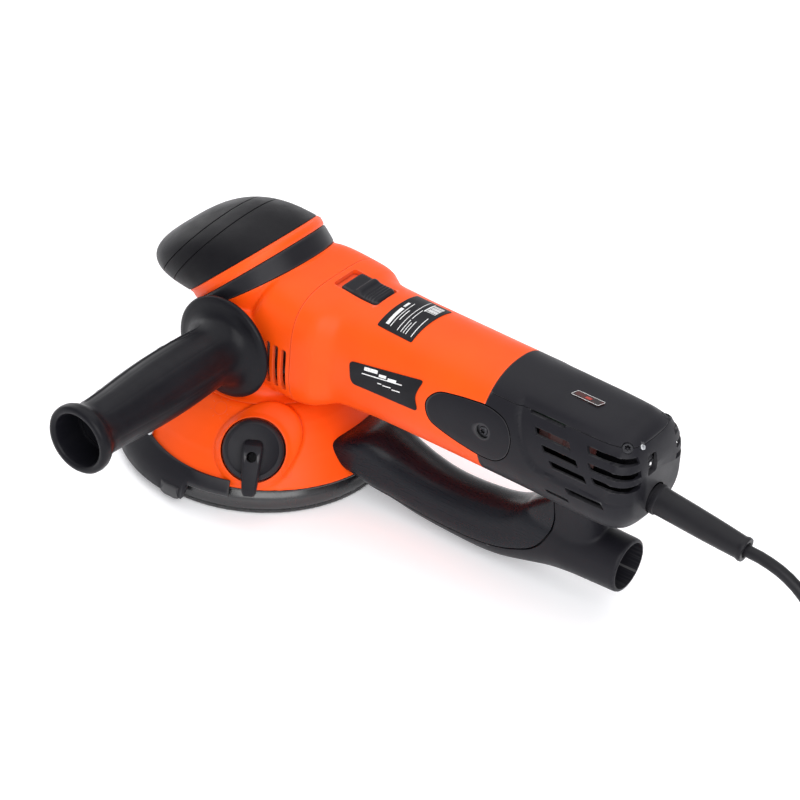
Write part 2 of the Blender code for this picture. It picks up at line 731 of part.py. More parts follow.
def dome_rings(inset, steps=32):
    rings = []
    for share in (0.0, 0.18, 0.36, 0.54, 0.7, 0.83, 0.93, 0.985):
        swell = (1 - share**CAP_POWER) ** (1 / CAP_POWER)
        swell *= 1 + 0.015 * math.sin(math.pi * min(1, 1.25 * share))
        swell *= 1 - inset / CAP_ALONG
        height, shift = (CAP_HEIGHT - inset) * share, -CAP_LEAN * share
        rings.append(cap_ring(CAP_ALONG * swell, CAP_ACROSS * swell, height, shift, steps))
    return rings


def cap_parts():
    """The soft dome, the thin orange ring under it and the black band that meets the head."""
    outer, inner = dome_rings(0.0), dome_rings(CAP_WALL)
    mesh = bmesh.new()
    loops = [[mesh.verts.new(p) for p in ring] for ring in (outer[::-1] + inner)]
    for a, b in zip(loops, loops[1:]):
        for i in range(len(a)):
            j = (i + 1) % len(a)
            mesh.faces.new((a[i], a[j], b[j], b[i]))
    mesh.faces.new(loops[0])
    mesh.faces.new(loops[-1])
    place("head_cap", mesh, rubber())
    stripe = []
    for inset, height in ((0.3, -GAP), (0.3, -STRIPE_H), (CAP_WALL, -STRIPE_H), (CAP_WALL, -GAP)):
        stripe.append(cap_ring(CAP_ALONG - inset, CAP_ACROSS - inset, height))
    place("accent_ring", skin(stripe, closed=True), orange())
    steps = 32
    band = []
    for inset, edge in ((0.0, 0), (0.0, 1), (CAP_WALL, 1), (CAP_WALL, 0)):
        ring = []
        for i in range(steps):
            angle = 2 * math.pi * i / steps
            height = -band_drop(angle) if edge else -STRIPE_H - GAP
            ring.append(ring_point(angle, CAP_ALONG - inset, CAP_ACROSS - inset, height))
        band.append(ring)
    place("cap_band", skin(band, closed=True), charcoal())


# ---------------------------------------------------------------- skirt, knob and guard


def cone_point(bearing, down, lift=0.0):
    """A point over the skirt's cone: down is measured along the slope from its shoulder."""
    radius = SHOULDER_R + down * CONE_UP + lift * CONE_OUT
    height = SHOULDER_Z - down * CONE_OUT + lift * CONE_UP
    return Vector((SPINDLE_X + radius * math.cos(bearing), radius * math.sin(bearing), height))


def knob_matrix():
    """Local Z along the knob's axis, local X down the slope, at the knob's centre on the cone."""
    out = Vector((math.cos(KNOB_BEARING), math.sin(KNOB_BEARING), 0))
    normal = out * CONE_OUT + Vector((0, 0, CONE_UP))
    down = out * CONE_UP - Vector((0, 0, CONE_OUT))
    across = normal.cross(down)
    frame = Matrix((down, across, normal)).transposed().to_4x4()
    return Matrix.Translation(cone_point(KNOB_BEARING, KNOB_ALONG)) @ frame


def dust_skirt():
    """The orange bell over the pad, with a pocket for the knob and a hole for the duct."""
    w = SKIRT_WALL
    bell = [(RIM_R, RIM_Z - 1.0), (RIM_R, RIM_Z), (SHOULDER_R, SHOULDER_Z), (30, SHOULDER_Z)]
    bell += [(30, SHOULDER_Z - w), (SHOULDER_R - 1.8, SHOULDER_Z - w)]
    bell += [(RIM_R - w - 0.6, RIM_Z), (RIM_R - w, RIM_Z - 1.0)]
    skirt = place("dust_skirt", turned(bell, 40, about((SPINDLE_X, 0, 0))), orange())
    here = knob_matrix()
    pocket = [(0, -8.0), (17.5, -8.0), (19.6, 3.6), (18.9, 4.6), (0, 4.6)]
    join(skirt, place("knob_pocket", turned(pocket, 32, here), orange()))
    well = [(0, -4.5), (KNOB_R + 0.9, -4.5), (KNOB_R + 0.9, 12.0), (0, 12.0)]
    cut(skirt, place("knob_well", turned(well, 32, here), orange()))
    stem = [(0, -12.0), (4.4, -12.0), (4.4, 12.0), (0, 12.0)]
    cut(skirt, place("knob_stem_hole", turned(stem, 16, here), orange()))
    cut(skirt, rod("duct_hole", 11.5, (45, 0, 37), (85, 0, 37), 20))


def mode_knob():
    """The round selector with a raised pointer that overhangs its lower edge."""
    here = knob_matrix()
    centre = here.translation
    disc = [(0, -7.5), (4.0, -7.5), (4.0, -4.0), (KNOB_R, -4.0)]
    disc += [(KNOB_R, KNOB_LIFT - 1.2), (KNOB_R - 1.2, KNOB_LIFT), (0, KNOB_LIFT)]
    knob = place("mode_knob", turned(disc, 32, here), charcoal(), centre)
    lever = []
    for along, half, low, high in POINTER_SECTIONS:
        corners = ((-half, low), (half, low), (half * 0.8, high), (-half * 0.8, high))
        lever.append([here @ Vector((along, b, c)) for b, c in corners])
    join(knob, place("knob_pointer", skin(lever), charcoal()))
    dimple = [(0, 10.0), (2.4, 10.0), (2.4, 18.0), (0, 18.0)]
    hole = turned(dimple, 16, here @ Matrix.Translation((9.0, 0, 0)))
    cut(knob, place("pointer_hole", hole, charcoal()))


def edge_guard():
    """The clip-on bumper round the front of the skirt: a flange on the cone and a hanging lip."""

    def ring_at(degrees, with_lip):
        bearing = math.radians(degrees)
        share = (degrees - GUARD_FROM) / (180 - GUARD_FROM)
        down = GUARD_TOP_BACK + (GUARD_TOP_FRONT - GUARD_TOP_BACK) * share
        lip_r, lip_low = (84.3, 4.5) if with_lip else (79.6, 12.8)
        wall = [(80.6, 16.0), (lip_r - 1.2, 12.2), (lip_r, lip_low)]
        wall += [(lip_r - 2.2, lip_low), (77.6, 12.4), (77.4, 17.2)]
        points = [cone_point(bearing, down, 0.4), cone_point(bearing, down, 2.2)]
        c, s = math.cos(bearing), math.sin(bearing)
        points += [Vector((SPINDLE_X + radius * c, radius * s, height)) for radius, height in wall]
        return points

    half = [(GUARD_FROM, False), (72, False), (81, False), (83, False), (84, True)]
    half += [(degrees, True) for degrees in range(90, 181, 9)]
    rings = [ring_at(degrees, lip) for degrees, lip in half]
    mirrored = [[Vector((p.x, -p.y, p.z)) for p in ring] for ring in rings[-2::-1]]
    place("edge_guard", skin(rings + mirrored), charcoal())


# ---------------------------------------------------------------- side handle


def side_handle():
    """The grip with its dished flange and open end, and the stud that holds it to the head."""
    face = BOSS_END_Y + GAP
    profile = [(0, face), (28.6, face), (30, 48.4), (29.4, 49.8), (25, 51.6), (20.5, 55.5), (17.6, 61.5)]
    profile += [(17.2, 68.0), (18.3, 90.0), (18.2, 118.0), (16.6, 140.0), (15.6, 152.0), (16.8, 159.0)]
    profile += [(19.2, 163.5), (19.2, -HANDLE_END_Y), (15.0, -HANDLE_END_Y), (14.2, 150.0), (0, 149.0)]
    to_world = about((HANDLE_X, 0, HANDLE_Z), (0, -1, 0))
    grip = place("side_handle", turned(profile, 24, to_world), rubber())
    bore = (HANDLE_X, -BOSS_END_Y + 8, HANDLE_Z), (HANDLE_X, -78, HANDLE_Z)
    cut(grip, rod("handle_bore", STUD_HOLE_R, *bore, 16))
    ends = (HANDLE_X, -32, HANDLE_Z), (HANDLE_X, -76, HANDLE_Z)
    rod("handle_stud", STUD_HOLE_R - GAP, *ends, 16, steel())


# ---------------------------------------------------------------- duct


DUCT_SECTIONS = (
    (52.0, 21.0, 53.0, 20.5, 3.2),
    (82.5, 19.6, 46.5, 14.2, 2.9),
    (89.0, 18.6, 44.5, 9.0, 2.7),
    (102.0, 17.2, 40.8, 5.6, 2.4),
    (120.0, 16.2, 36.6, 4.1, 2.3),
    (137.0, 15.7, 34.8, 3.8, 2.2),
    (160.0, 15.6, 37.0, 6.0, 2.2),
    (185.0, 16.0, 45.5, 12.0, 2.2),
    (204.0, 15.8, 49.0, 16.0, 2.0),
    (218.0, OUTLET_R, OUTLET_Z + OUTLET_R, OUTLET_Z - OUTLET_R, 2.0),
    (OUTLET_END_X, OUTLET_R, OUTLET_Z + OUTLET_R, OUTLET_Z - OUTLET_R, 2.0),
)
GRIP_FROM_X, GRIP_TO_X = 70.0, 196.0
GRIP_MIDDLE_X = (89.0, 104.0, 120.0, 137.0, 160.0, 185.0)
GRIP_DEPTH = 2.4
GRIP_LOW_SHARE = 0.27
# Sections up the strut: height, front, back and half width.
POST_SECTIONS = (
    (30.0, 196.0, 232.0, 12.0),
    (46.0, 199.0, 230.0, 12.5),
    (56.0, 197.0, 232.0, 13.5),
    (64.5, 194.0, 235.0, 15.0),
)


def skirt_clearance(name):
    """The skirt's outside plus a small gap, which trims what meets it."""
    room = 0.5
    cone = [(0, RIM_Z - 8), (RIM_R + room, RIM_Z - 8), (RIM_R + room, RIM_Z)]
    cone += [(SHOULDER_R + room, SHOULDER_Z + 0.2), (0, SHOULDER_Z + 0.2)]
    return place(name, turned(cone, 40, about((SPINDLE_X, 0, 0))), charcoal())


def dust_duct():
    """The hollow duct from the skirt to the hose outlet, with the strut up to the motor."""
    outer = [section(*values, 24) for values in DUCT_SECTIONS]
    duct = place("dust_duct", skin(outer), charcoal())
    post = []
    for z, front, back, half in POST_SECTIONS:
        outline = rounded((back - front) / 2, half, 3.0, 20)
        post.append([Vector(((front + back) / 2 + u, v, z)) for u, v in outline])
    join(duct, place("duct_post", skin(post), charcoal()))
    first, last = DUCT_SECTIONS[0], DUCT_SECTIONS[-1]
    inner = [section(*at_x(first, first[0] - 6), 20, inset=4.6)]
    inner += [section(*values, 20, inset=4.6) for values in DUCT_SECTIONS[1:-2:2]]
    for x in (DUCT_SECTIONS[-2][0], OUTLET_END_X + 4):
        inner.append(section(*at_x(last, x), 20, inset=OUTLET_R - OUTLET_BORE))
    cut(duct, place("duct_inside", skin(inner), charcoal()))
    cut(duct, skirt_clearance("skirt_room_duct"))
    cut(duct, barrel_clearance("barrel_room"))
    cut(duct, grip_space("grip_pocket", GAP))


def barrel_clearance(name):
    joint = REAR_JOINT_SECTION
    sections = (at_x(joint, REAR_JOINT_X - 20), joint, *REAR_SECTIONS)
    return place(name, skin([section(*values, 32, inset=-GAP) for values in sections]), charcoal())


def grip_space(name, extra):
    """The upper skin of the duct that the soft grip fills, as a solid."""
    rings = []
    for x in (GRIP_FROM_X - extra, *GRIP_MIDDLE_X, GRIP_TO_X + extra):
        half, top, bottom, power = duct_size(x)
        low = bottom + GRIP_LOW_SHARE * (top - bottom) - extra
        depth = GRIP_DEPTH + extra
        outer = half_arch(x, half + 6, top + 6, low, power)
        inner = half_arch(x, half - depth, top - depth, low, power)
        rings.append(outer + inner[::-1])
    return place(name, skin(rings), charcoal())


def duct_size(x):
    """Half width, top, bottom and power of the duct's section at x."""
    for a, b in zip(DUCT_SECTIONS, DUCT_SECTIONS[1:]):
        if a[0] <= x <= b[0]:
            share = (x - a[0]) / (b[0] - a[0])
            return [p + (q - p) * share for p, q in zip(a[1:], b[1:])]
    raise ValueError(x)


def half_arch(x, half_width, top, low, power, steps=12):
    """An arch over the duct from one side, over the top, to the other."""
    points = []
    for i in range(steps + 1):
        angle = math.pi * i / steps
        c, s = math.cos(angle), math.sin(angle)
        y = half_width * math.copysign(abs(c) ** (2 / power), c)
        points.append(Vector((x, y, low + (top - low) * s ** (2 / power))))
    return points


def duct_grip():
    """The glossy soft grip, a saddle over the duct."""
    rings = []
    for x in (GRIP_FROM_X, *GRIP_MIDDLE_X, GRIP_TO_X):
        half, top, bottom, power = duct_size(x)
        low = bottom + GRIP_LOW_SHARE * (top - bottom)
        outer = half_arch(x, half, top, low, power)
        inner = half_arch(x, half - GRIP_DEPTH, top - GRIP_DEPTH, low, power)
        rings.append(outer + inner[::-1])
    grip = place("duct_grip", skin(rings), gloss_black())
    cut(grip, skirt_clearance("skirt_room_grip"))


# ---------------------------------------------------------------- switch, plates and screws


def switch_slider():
    """The sliding switch: a stem through the opening under a stepped thumb pad."""
    origin = (71.0, 0, 130.0)
    pad = [(-9.4, 131.6), (9.4, 131.6), (9.4, 134.2), (8.2, 135.6), (-8.2, 135.6), (-9.4, 134.2)]
    slider = prism("switch_slider", pad, "X", 57.5, 84.5, charcoal(), origin)
    join(slider, box("switch_stem", (59.0, -7.0, 121.5), (83.0, 7.0, 133.0)))
    for i, x in enumerate((60.5, 63.5, 66.5, 75.0, 78.0, 81.0)):
        cut(slider, box(f"switch_groove_{i}", (x, -12, 134.8), (x + 1.0, 12, 138.0)))


def surface_y(x, z, lift):
    """How far the motor shell stands out from the middle plane at this x and z."""
    sections = (JOINT_SECTION, *MOTOR_SECTIONS, REAR_JOINT_SECTION, *REAR_SECTIONS)
    half, top, bottom, power = values_at(sections, x)
    up = min(0.999, abs(z - (top + bottom) / 2) / ((top - bottom) / 2 + lift))
    return (half + lift) * (1 - up**power) ** (1 / power)


def surface_z(x, y, lift):
    sections = (JOINT_SECTION, *MOTOR_SECTIONS, REAR_JOINT_SECTION, *REAR_SECTIONS)
    half, top, bottom, power = values_at(sections, x)
    out = min(0.999, abs(y) / (half + lift))
    return (top + bottom) / 2 + ((top - bottom) / 2 + lift) * (1 - out**power) ** (1 / power)


def values_at(sections, x):
    for a, b in zip(sections, sections[1:]):
        if a[0] <= x <= b[0]:
            share = (x - a[0]) / (b[0] - a[0])
            return [p + (q - p) * share for p, q in zip(a[1:], b[1:])]
    raise ValueError(x)


def subdivided(outline, longest=8.0):
    """The outline with its long edges divided."""
    points = []
    for (a, b), (c, d) in zip(outline, outline[1:] + outline[:1]):
        pieces = max(1, math.ceil(math.hypot(c - a, d - b) / longest))
        points += [(a + (c - a) * k / pieces, b + (d - b) * k / pieces) for k in range(pieces)]
    return points


def shell_plate(name, outline, project, low, high, finish):
    """A thin plate that follows the shell: loops of the outline shrink to its middle."""
    outline = subdivided(outline)
    middle = [sum(values) / len(outline) for values in zip(*outline)]
    loops = []
    for lift, shares in ((low, (0.001, 0.5, 1.0)), (high, (1.0, 0.5, 0.001))):
        for share in shares:
            ring = []
            for a, b in outline:
                u = middle[0] + (a - middle[0]) * share
                v = middle[1] + (b - middle[1]) * share
                ring.append(project(u, v, lift))
            loops.append(ring)
    return place(name, skin(loops), finish)


def rounded_outline(corners, radius, steps=3):
    """The outline through the corners with each corner rounded."""
    points = []
    count = len(corners)
    for i in range(count):
        before, here, after = (Vector((*corners[(i + k) % count], 0)) for k in (-1, 0, 1))
        start = here + (before - here).normalized() * radius
        end = here + (after - here).normalized() * radius
        for j in range(steps + 1):
            t = j / steps
            p = start * (1 - t) ** 2 + here * 2 * t * (1 - t) + end * t**2
            points.append((p.x, p.y))
    return points


def plates():
    """Blank name plates, the rating label and the two brush covers."""
    ink = material("plate_black", (0.02, 0.02, 0.022), 0.35)
    for side, word in ((-1, "left"), (1, "right")):
        def flank(x, z, lift):
            return Vector((x, side * surface_y(x, z, lift), z))

        name_plate = rounded_outline(NAMEPLATE, 2.0, 2)
        shell_plate(f"nameplate_{word}", name_plate, flank, GAP, 0.9, ink)
        oval = rounded_outline(BRUSH_COVER, 8.0)
        cover = shell_plate(f"brush_cover_{word}", oval, flank, GAP, 1.3, charcoal())
        hole = (SCREW_X, side * 24, SCREW_Z), (SCREW_X, side * 40, SCREW_Z)
        cut(cover, rod(f"cover_screw_hole_{word}", 3.4, *hole, 16))
        screw = [(0, 28.2), (1.5, 28.2), (1.5, 33.0), (2.9, 33.1), (2.9, 34.0), (0, 34.0)]
        here = about((SCREW_X, 0, SCREW_Z), (0, side, 0))
        place(f"brush_cover_screw_{word}", turned(screw, 16, here), steel())

    def roof(x, y, lift):
        return Vector((x, y, surface_z(x, y, lift)))

    label = rounded_outline(RATING_LABEL, 0.6, 1)
    shell_plate("rating_label", label, roof, 0.62, 0.92, ink)


def rear_screws():
    for side, word in ((-1, "left"), (1, "right")):
        centre = Vector((LID_SCREW_X, side * LID_SCREW_Y, 0))
        screw = [(0, 110.0), (1.4, 110.0), (1.4, 118.6), (2.7, 118.7), (2.7, 120.2), (0, 120.2)]
        place(f"rear_screw_{word}", turned(screw, 12, about(centre)), steel())


# ---------------------------------------------------------------- cable


def cable_parts():
    """The tapered sleeve, the cord down to the floor, and its coil as one round ring."""
    start = Vector((REAR_END_X - 1.0, 0, CABLE_Z))
    along = SLEEVE_END - start
    length = along.length
    inner = CORD_R + GAP
    sleeve = [(inner, 0), (7.6, 0), (7.2, 6.0), (6.4, length - 12), (5.4, length - 3)]
    sleeve += [(5.8, length - 2), (5.8, length), (inner, length)]
    place("cable_sleeve", turned(sleeve, 20, about(start, along)), rubber())
    way = along.normalized()
    floor_z = CORD_R + 0.6
    coil_side = COIL_X - COIL_MID_R - COIL_HALF_WIDTH - GAP
    route = [start + way * 6, start + way * 30, SLEEVE_END, Vector((322, 0, 73.8))]
    route += [Vector((334, 0, 69.3)), Vector((345, 0, 62.0)), Vector((352, 0.4, 51.9))]
    route += [Vector((357.5, 1, 40)), Vector((365.6, 2.6, 21.7)), Vector((371.2, 4, 13.2))]
    route += [Vector((378, 5, 7.9)), Vector((385.8, 5.8, 4.9)), Vector((coil_side, COIL_Y, floor_z))]
    tube("cord_tube", smooth_route(route, 7.0), CORD_R, 2, rubber())
    inside, outside = COIL_MID_R - COIL_HALF_WIDTH, COIL_MID_R + COIL_HALF_WIDTH
    ring_of("cord_coil", inside, outside, COIL_LOW, COIL_TOP, (COIL_X, COIL_Y, 0), "Z", 32, rubber())


def cord_tie():
    """The strap round the coil's turns, a flat loop that clears them all round."""
    bearing = math.radians(45)
    out = Vector((math.cos(bearing), math.sin(bearing), 0))
    across = Vector((-out.y, out.x, 0))
    centre = Vector((COIL_X, COIL_Y, 0))
    near, far = COIL_MID_R - COIL_HALF_WIDTH - 1.0, COIL_MID_R + COIL_HALF_WIDTH + 0.4
    low, high = COIL_LOW - GAP, COIL_TOP + GAP
    rings = []
    for thick, side in ((1.1, -4.0), (1.1, 4.0), (0.0, 4.0), (0.0, -4.0)):
        ring = []
        for r, z in ((near - thick, low - thick), (far + thick, low - thick)):
            ring.append(centre + out * r + across * side + Vector((0, 0, z)))
        for r, z in ((far + thick, high + thick), (near - thick, high + thick)):
            ring.append(centre + out * r + across * side + Vector((0, 0, z)))
        rings.append(ring)
    place("cord_tie", skin(rings, closed=True), rubber())


def plug_parts():
    """A round two-pin mains plug that lies on the floor with its tail at the coil."""
    tail_y = COIL_Y - COIL_MID_R - COIL_HALF_WIDTH - GAP
    centre = Vector((COIL_X, tail_y - PLUG_LENGTH, PLUG_R + 0.3))
    body = [(0, 0.0), (PLUG_R - 0.3, 0.0), (PLUG_R, 2.0), (PLUG_R - 0.3, 14.0), (13.0, 22.0)]
    body += [(7.0, 32.0), (5.2, PLUG_LENGTH), (0, PLUG_LENGTH)]
    place("plug_body", turned(body, 24, about(centre, (0, 1, 0))), rubber())
    for i, x in enumerate((-9.5, 9.5)):
        pin = [(0, GAP), (2.4, GAP), (2.4, 17.5), (1.4, 19.0), (0, 19.0)]
        foot = about(centre + Vector((x, 0, 0)), (0, -1, 0))
        place(f"plug_pin_{i + 1}", turned(pin, 12, foot), brass())


def main():
    for old in list(bpy.data.objects):
        bpy.data.objects.remove(old)
    pad_parts()
    eccentric_parts()
    rotor_parts()
    bearings()
    gear_case()
    stator_parts()
    brush_parts()
    electrics()
    gear_housing()
    motor_housing()
    rear_housing()
    rear_top_cover()
    led_lens()
    speed_dial()
    cap_parts()
    dust_skirt()
    mode_knob()
    edge_guard()
    side_handle()
    dust_duct()
    duct_grip()
    switch_slider()
    plates()
    rear_screws()
    cable_parts()
    cord_tie()
    plug_parts()


main()
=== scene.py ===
"""The looks of a corded right-angle polisher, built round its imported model.

Lengths are millimetres in the frame of the part, and become metres as each mesh is made.
+Z is up along the pad's axis, +X runs back to the cable, and the side handle points along -Y.
"""

import json
import math

import bmesh
import bpy
from mathutils import Matrix, Vector, noise
from mathutils.bvhtree import BVHTree

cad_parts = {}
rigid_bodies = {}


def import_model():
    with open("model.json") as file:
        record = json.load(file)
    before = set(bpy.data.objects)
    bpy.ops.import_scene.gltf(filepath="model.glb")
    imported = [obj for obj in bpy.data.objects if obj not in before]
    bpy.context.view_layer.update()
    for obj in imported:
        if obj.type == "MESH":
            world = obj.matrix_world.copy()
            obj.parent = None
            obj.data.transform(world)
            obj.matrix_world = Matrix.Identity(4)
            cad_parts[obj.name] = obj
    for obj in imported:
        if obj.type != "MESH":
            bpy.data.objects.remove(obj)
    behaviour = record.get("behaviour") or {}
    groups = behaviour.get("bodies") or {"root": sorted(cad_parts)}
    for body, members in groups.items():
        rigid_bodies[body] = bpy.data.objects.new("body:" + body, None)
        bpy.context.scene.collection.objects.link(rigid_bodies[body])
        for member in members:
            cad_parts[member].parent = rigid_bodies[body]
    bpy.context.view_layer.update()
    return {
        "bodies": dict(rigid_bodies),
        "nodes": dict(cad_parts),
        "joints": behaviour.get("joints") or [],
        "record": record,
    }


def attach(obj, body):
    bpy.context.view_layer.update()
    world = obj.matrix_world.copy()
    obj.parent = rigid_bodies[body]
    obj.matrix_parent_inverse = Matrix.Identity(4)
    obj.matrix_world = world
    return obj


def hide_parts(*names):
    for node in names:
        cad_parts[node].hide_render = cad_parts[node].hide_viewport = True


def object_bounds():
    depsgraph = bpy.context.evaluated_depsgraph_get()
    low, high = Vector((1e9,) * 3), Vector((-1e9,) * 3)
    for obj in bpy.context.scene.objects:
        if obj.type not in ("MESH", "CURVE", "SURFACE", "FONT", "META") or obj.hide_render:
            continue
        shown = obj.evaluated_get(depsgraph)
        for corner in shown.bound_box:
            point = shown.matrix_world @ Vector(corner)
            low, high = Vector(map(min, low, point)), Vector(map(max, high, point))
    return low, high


MM = 0.001
SEAM = 0.3
WALL, REAR_WALL = 2.6, 2.7

# Camera: where it looks, how it is turned, and its distance, all found from the object itself.
LOOK_AT = Vector((90.0, 0.0, 80.0))
AZIMUTH, ELEVATION, ROLL = 33.60, 34.25, 4.87
OFF_ACROSS, OFF_UP, DISTANCE = 2.45, -12.06, 1516.82
LENS, SENSOR = 126.0, 36.0

# Cord, 3 m in all: its free run, then twelve turns in three layers of four.
CORD_D = 6.6
SLEEVE_FROM = Vector((255.0, 0.0, 81.5))
SLEEVE_TO = Vector((312.0, 0.0, 75.5))
COIL_X, COIL_Y, COIL_MID_R = 447.0, 6.0, 38.0
COIL_LAYERS, COIL_ACROSS = 3, 4

# Skirt, cap, knob and handle, as the part has them.
SPINDLE_X = 3.0
RIM_R, RIM_Z = 76.4, 18.0
SHOULDER_R, SHOULDER_Z = 50.0, 54.0
SLOPE = math.atan2(SHOULDER_Z - RIM_Z, RIM_R - SHOULDER_R)
CAP_X, CAP_Z = -9.0, 116.4
CAP_TILT = math.radians(43.7)
CAP_ALONG, CAP_ACROSS = 39.4, 41.4
CAP_HEIGHT, CAP_LEAN, CAP_POWER = 35.4, 30.4, 2.9
CAP_BACK, CAP_LIP = 1.2, 2.1
STRIPE_H, BAND_H = 4.4, 15.7
KNOB_BEARING = math.radians(-57.5)
KNOB_ALONG, KNOB_R = 23.5, 17.0
HANDLE_X, HANDLE_Z = 9.4, 88.0
HEAD_JOINT_X, REAR_JOINT_X, REAR_END_X = 48.0, 166.0, 256.0
OUTLET_Z, OUTLET_BORE, OUTLET_END_X = 32.0, 13.3, 247.0
DIAL_X, DIAL_Z, DIAL_R = 244.8, 104.5, 9.6
SCREW_X, SCREW_Z = 168.5, 98.6
PLUG_TAIL = Vector((447.0, -46.6, 24.0))
PLUG_TIP = math.radians(7.0)


# ---------------------------------------------------------------- meshes


def skin(rings, closed=False):
    """A bmesh skinned over rings of equal length."""
    mesh = bmesh.new()
    loops = [[mesh.verts.new(point) for point in ring] for ring in rings]
    pairs = list(zip(loops, loops[1:]))
    if closed:
        pairs.append((loops[-1], loops[0]))
    for a, b in pairs:
        for i in range(len(a)):
            j = (i + 1) % len(a)
            mesh.faces.new((a[i], a[j], b[j], b[i]))
    if not closed:
        mesh.faces.new(loops[0])
        mesh.faces.new(loops[-1])
    return mesh


def turns(count):
    """Angles evenly round a circle."""
    return [2 * math.pi * i / count for i in range(count)]


def around(radius, angle, height=0.0):
    """The point at a radius and bearing round Z."""
    return Vector((radius * math.cos(angle), radius * math.sin(angle), height))


def turned(profile, steps, to_world):
    """A closed outline of (radius, height) points turned about local Z."""
    mesh = bmesh.new()
    rings = []
    for radius, height in profile:
        ring = []
        for angle in turns(steps)[: 1 if radius == 0 else steps]:
            ring.append(mesh.verts.new(to_world @ around(radius, angle, height)))
        rings.append(ring)
    for a, b in zip(rings, rings[1:] + rings[:1]):
        if len(a) == 1 and len(b) == 1:
            continue
        for i in range(steps):
            j = (i + 1) % steps
            corners = [a[i % len(a)], a[j % len(a)], b[j % len(b)], b[i % len(b)]]
            mesh.faces.new(list(dict.fromkeys(corners)))
    return mesh


def rod(radius, low, high, steps, to_world):
    """A plain round bar between two heights."""
    return turned([(0, low), (radius, low), (radius, high), (0, high)], steps, to_world)


def axes(x, y, z):
    """The matrix whose axes are three directions."""
    return Matrix((x, y, z)).transposed().to_4x4()


def about(centre, along=(0, 0, 1)):
    """The matrix that stands local Z along a direction at a centre."""
    spin = Vector((0, 0, 1)).rotation_difference(Vector(along))
    return Matrix.Translation(Vector(centre)) @ spin.to_matrix().to_4x4()


def block(low, high, to_world=None):
    """A box between two corners, turned by a matrix if one is given."""
    low, high = Vector(low), Vector(high)
    rings = []
    for x in (low.x, high.x):
        corners = ((low.y, low.z), (high.y, low.z), (high.y, high.z), (low.y, high.z))
        rings.append([Vector((x, y, z)) for y, z in corners])
    if to_world:
        rings = [[to_world @ point for point in ring] for ring in rings]
    return skin(rings)


def solid(name, *meshes):
    """One object from bmeshes in millimetres, facing out."""
    data = bpy.data.meshes.new(name)
    whole = bmesh.new()
    for mesh in meshes:
        mesh.to_mesh(data)
        mesh.free()
        whole.from_mesh(data)
    bmesh.ops.recalc_face_normals(whole, faces=whole.faces[:])
    bmesh.ops.scale(whole, vec=(MM, MM, MM), verts=whole.verts[:])
    whole.to_mesh(data)
    whole.free()
    made = bpy.data.objects.new(name, data)
    bpy.context.scene.collection.objects.link(made)
    return made


def modify(obj, kind, **settings):
    """Runs one modifier on an object and keeps its result as the mesh."""
    step = obj.modifiers.new(kind.lower(), kind)
    for key, value in settings.items():
        setattr(step, key, value)
    graph = bpy.context.evaluated_depsgraph_get()
    made = bpy.data.meshes.new_from_object(obj.evaluated_get(graph))
    obj.modifiers.clear()
    old, obj.data = obj.data, made
    made.name = obj.name
    bpy.data.meshes.remove(old)
    return obj


def carve(obj, tool, operation="DIFFERENCE"):
    """Cuts a tool, an object or a bmesh, out of an object, joins it on, or keeps their overlap."""
    if isinstance(tool, bmesh.types.BMesh):
        tool = solid("tool", tool)
    modify(obj, "BOOLEAN", object=tool, operation=operation, solver="MANIFOLD")
    bpy.data.objects.remove(tool)
    return obj


def copied(obj, name):
    made = obj.copy()
    made.data = obj.data.copy()
    made.name = name
    bpy.context.scene.collection.objects.link(made)
    return made


def moulded(obj, voxel, passes):
    """Merges overlapping shapes into one skin and blends their junctions, as in a moulding."""
    modify(obj, "REMESH", mode="VOXEL", voxel_size=voxel * MM)
    return modify(obj, "SMOOTH", iterations=passes, factor=0.5)


def finished(obj, look, node=None, body="tool", angle=34.0):
    """Shades a piece, gives it its material and fixes it to a body in place of its CAD node."""
    obj.data.shade_smooth()
    obj.data.set_sharp_from_angle(angle=math.radians(angle))
    obj.data.materials.clear()
    obj.data.materials.append(FINISHES[look])
    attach(obj, body)
    if node:
        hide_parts(node)
    return obj


def tube(name, points, radius, look, cyclic=False, sides=4):
    """A round bar along points in millimetres, as a curve."""
    data = bpy.data.curves.new(name, "CURVE")
    data.dimensions = "3D"
    data.bevel_depth = radius * MM
    data.bevel_resolution = sides
    data.use_fill_caps = True
    spline = data.splines.new("POLY")
    spline.points.add(len(points) - 1)
    for spot, point in zip(spline.points, points):
        spot.co = (*(Vector(point) * MM), 1.0)
    spline.use_cyclic_u = cyclic
    data.materials.append(FINISHES[look])
    made = bpy.data.objects.new(name, data)
    bpy.context.scene.collection.objects.link(made)
    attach(made, "tool")
    return made


def smooth_route(points, spacing, closed=False):
    """Points an even distance apart on a smooth curve through the given points."""
    points = [Vector(p) for p in points]
    if closed:
        ends = [points[-1], *points, points[0], points[1]]
    else:
        ends = [2 * points[0] - points[1], *points, 2 * points[-1] - points[-2]]
    fine = []
    for a, b, c, d in zip(ends, ends[1:], ends[2:], ends[3:]):
        for i in range(24):
            t = i / 24
            bend = (2 * a - 5 * b + 4 * c - d) * t**2
            twist = (3 * b - 3 * c + d - a) * t**3
            fine.append(0.5 * (2 * b + (c - a) * t + bend + twist))
    fine.append(points[0] if closed else points[-1])
    total = sum((b - a).length for a, b in zip(fine, fine[1:]))
    count = max(2, round(total / spacing))
    step = total / count
    route = [fine[0]]
    travelled = 0.0
    for a, b in zip(fine, fine[1:]):
        length = (b - a).length
        while len(route) < count and travelled + length >= step * len(route):
            route.append(a.lerp(b, (step * len(route) - travelled) / length))
        travelled += length
    return route if closed else [*route, fine[-1]]


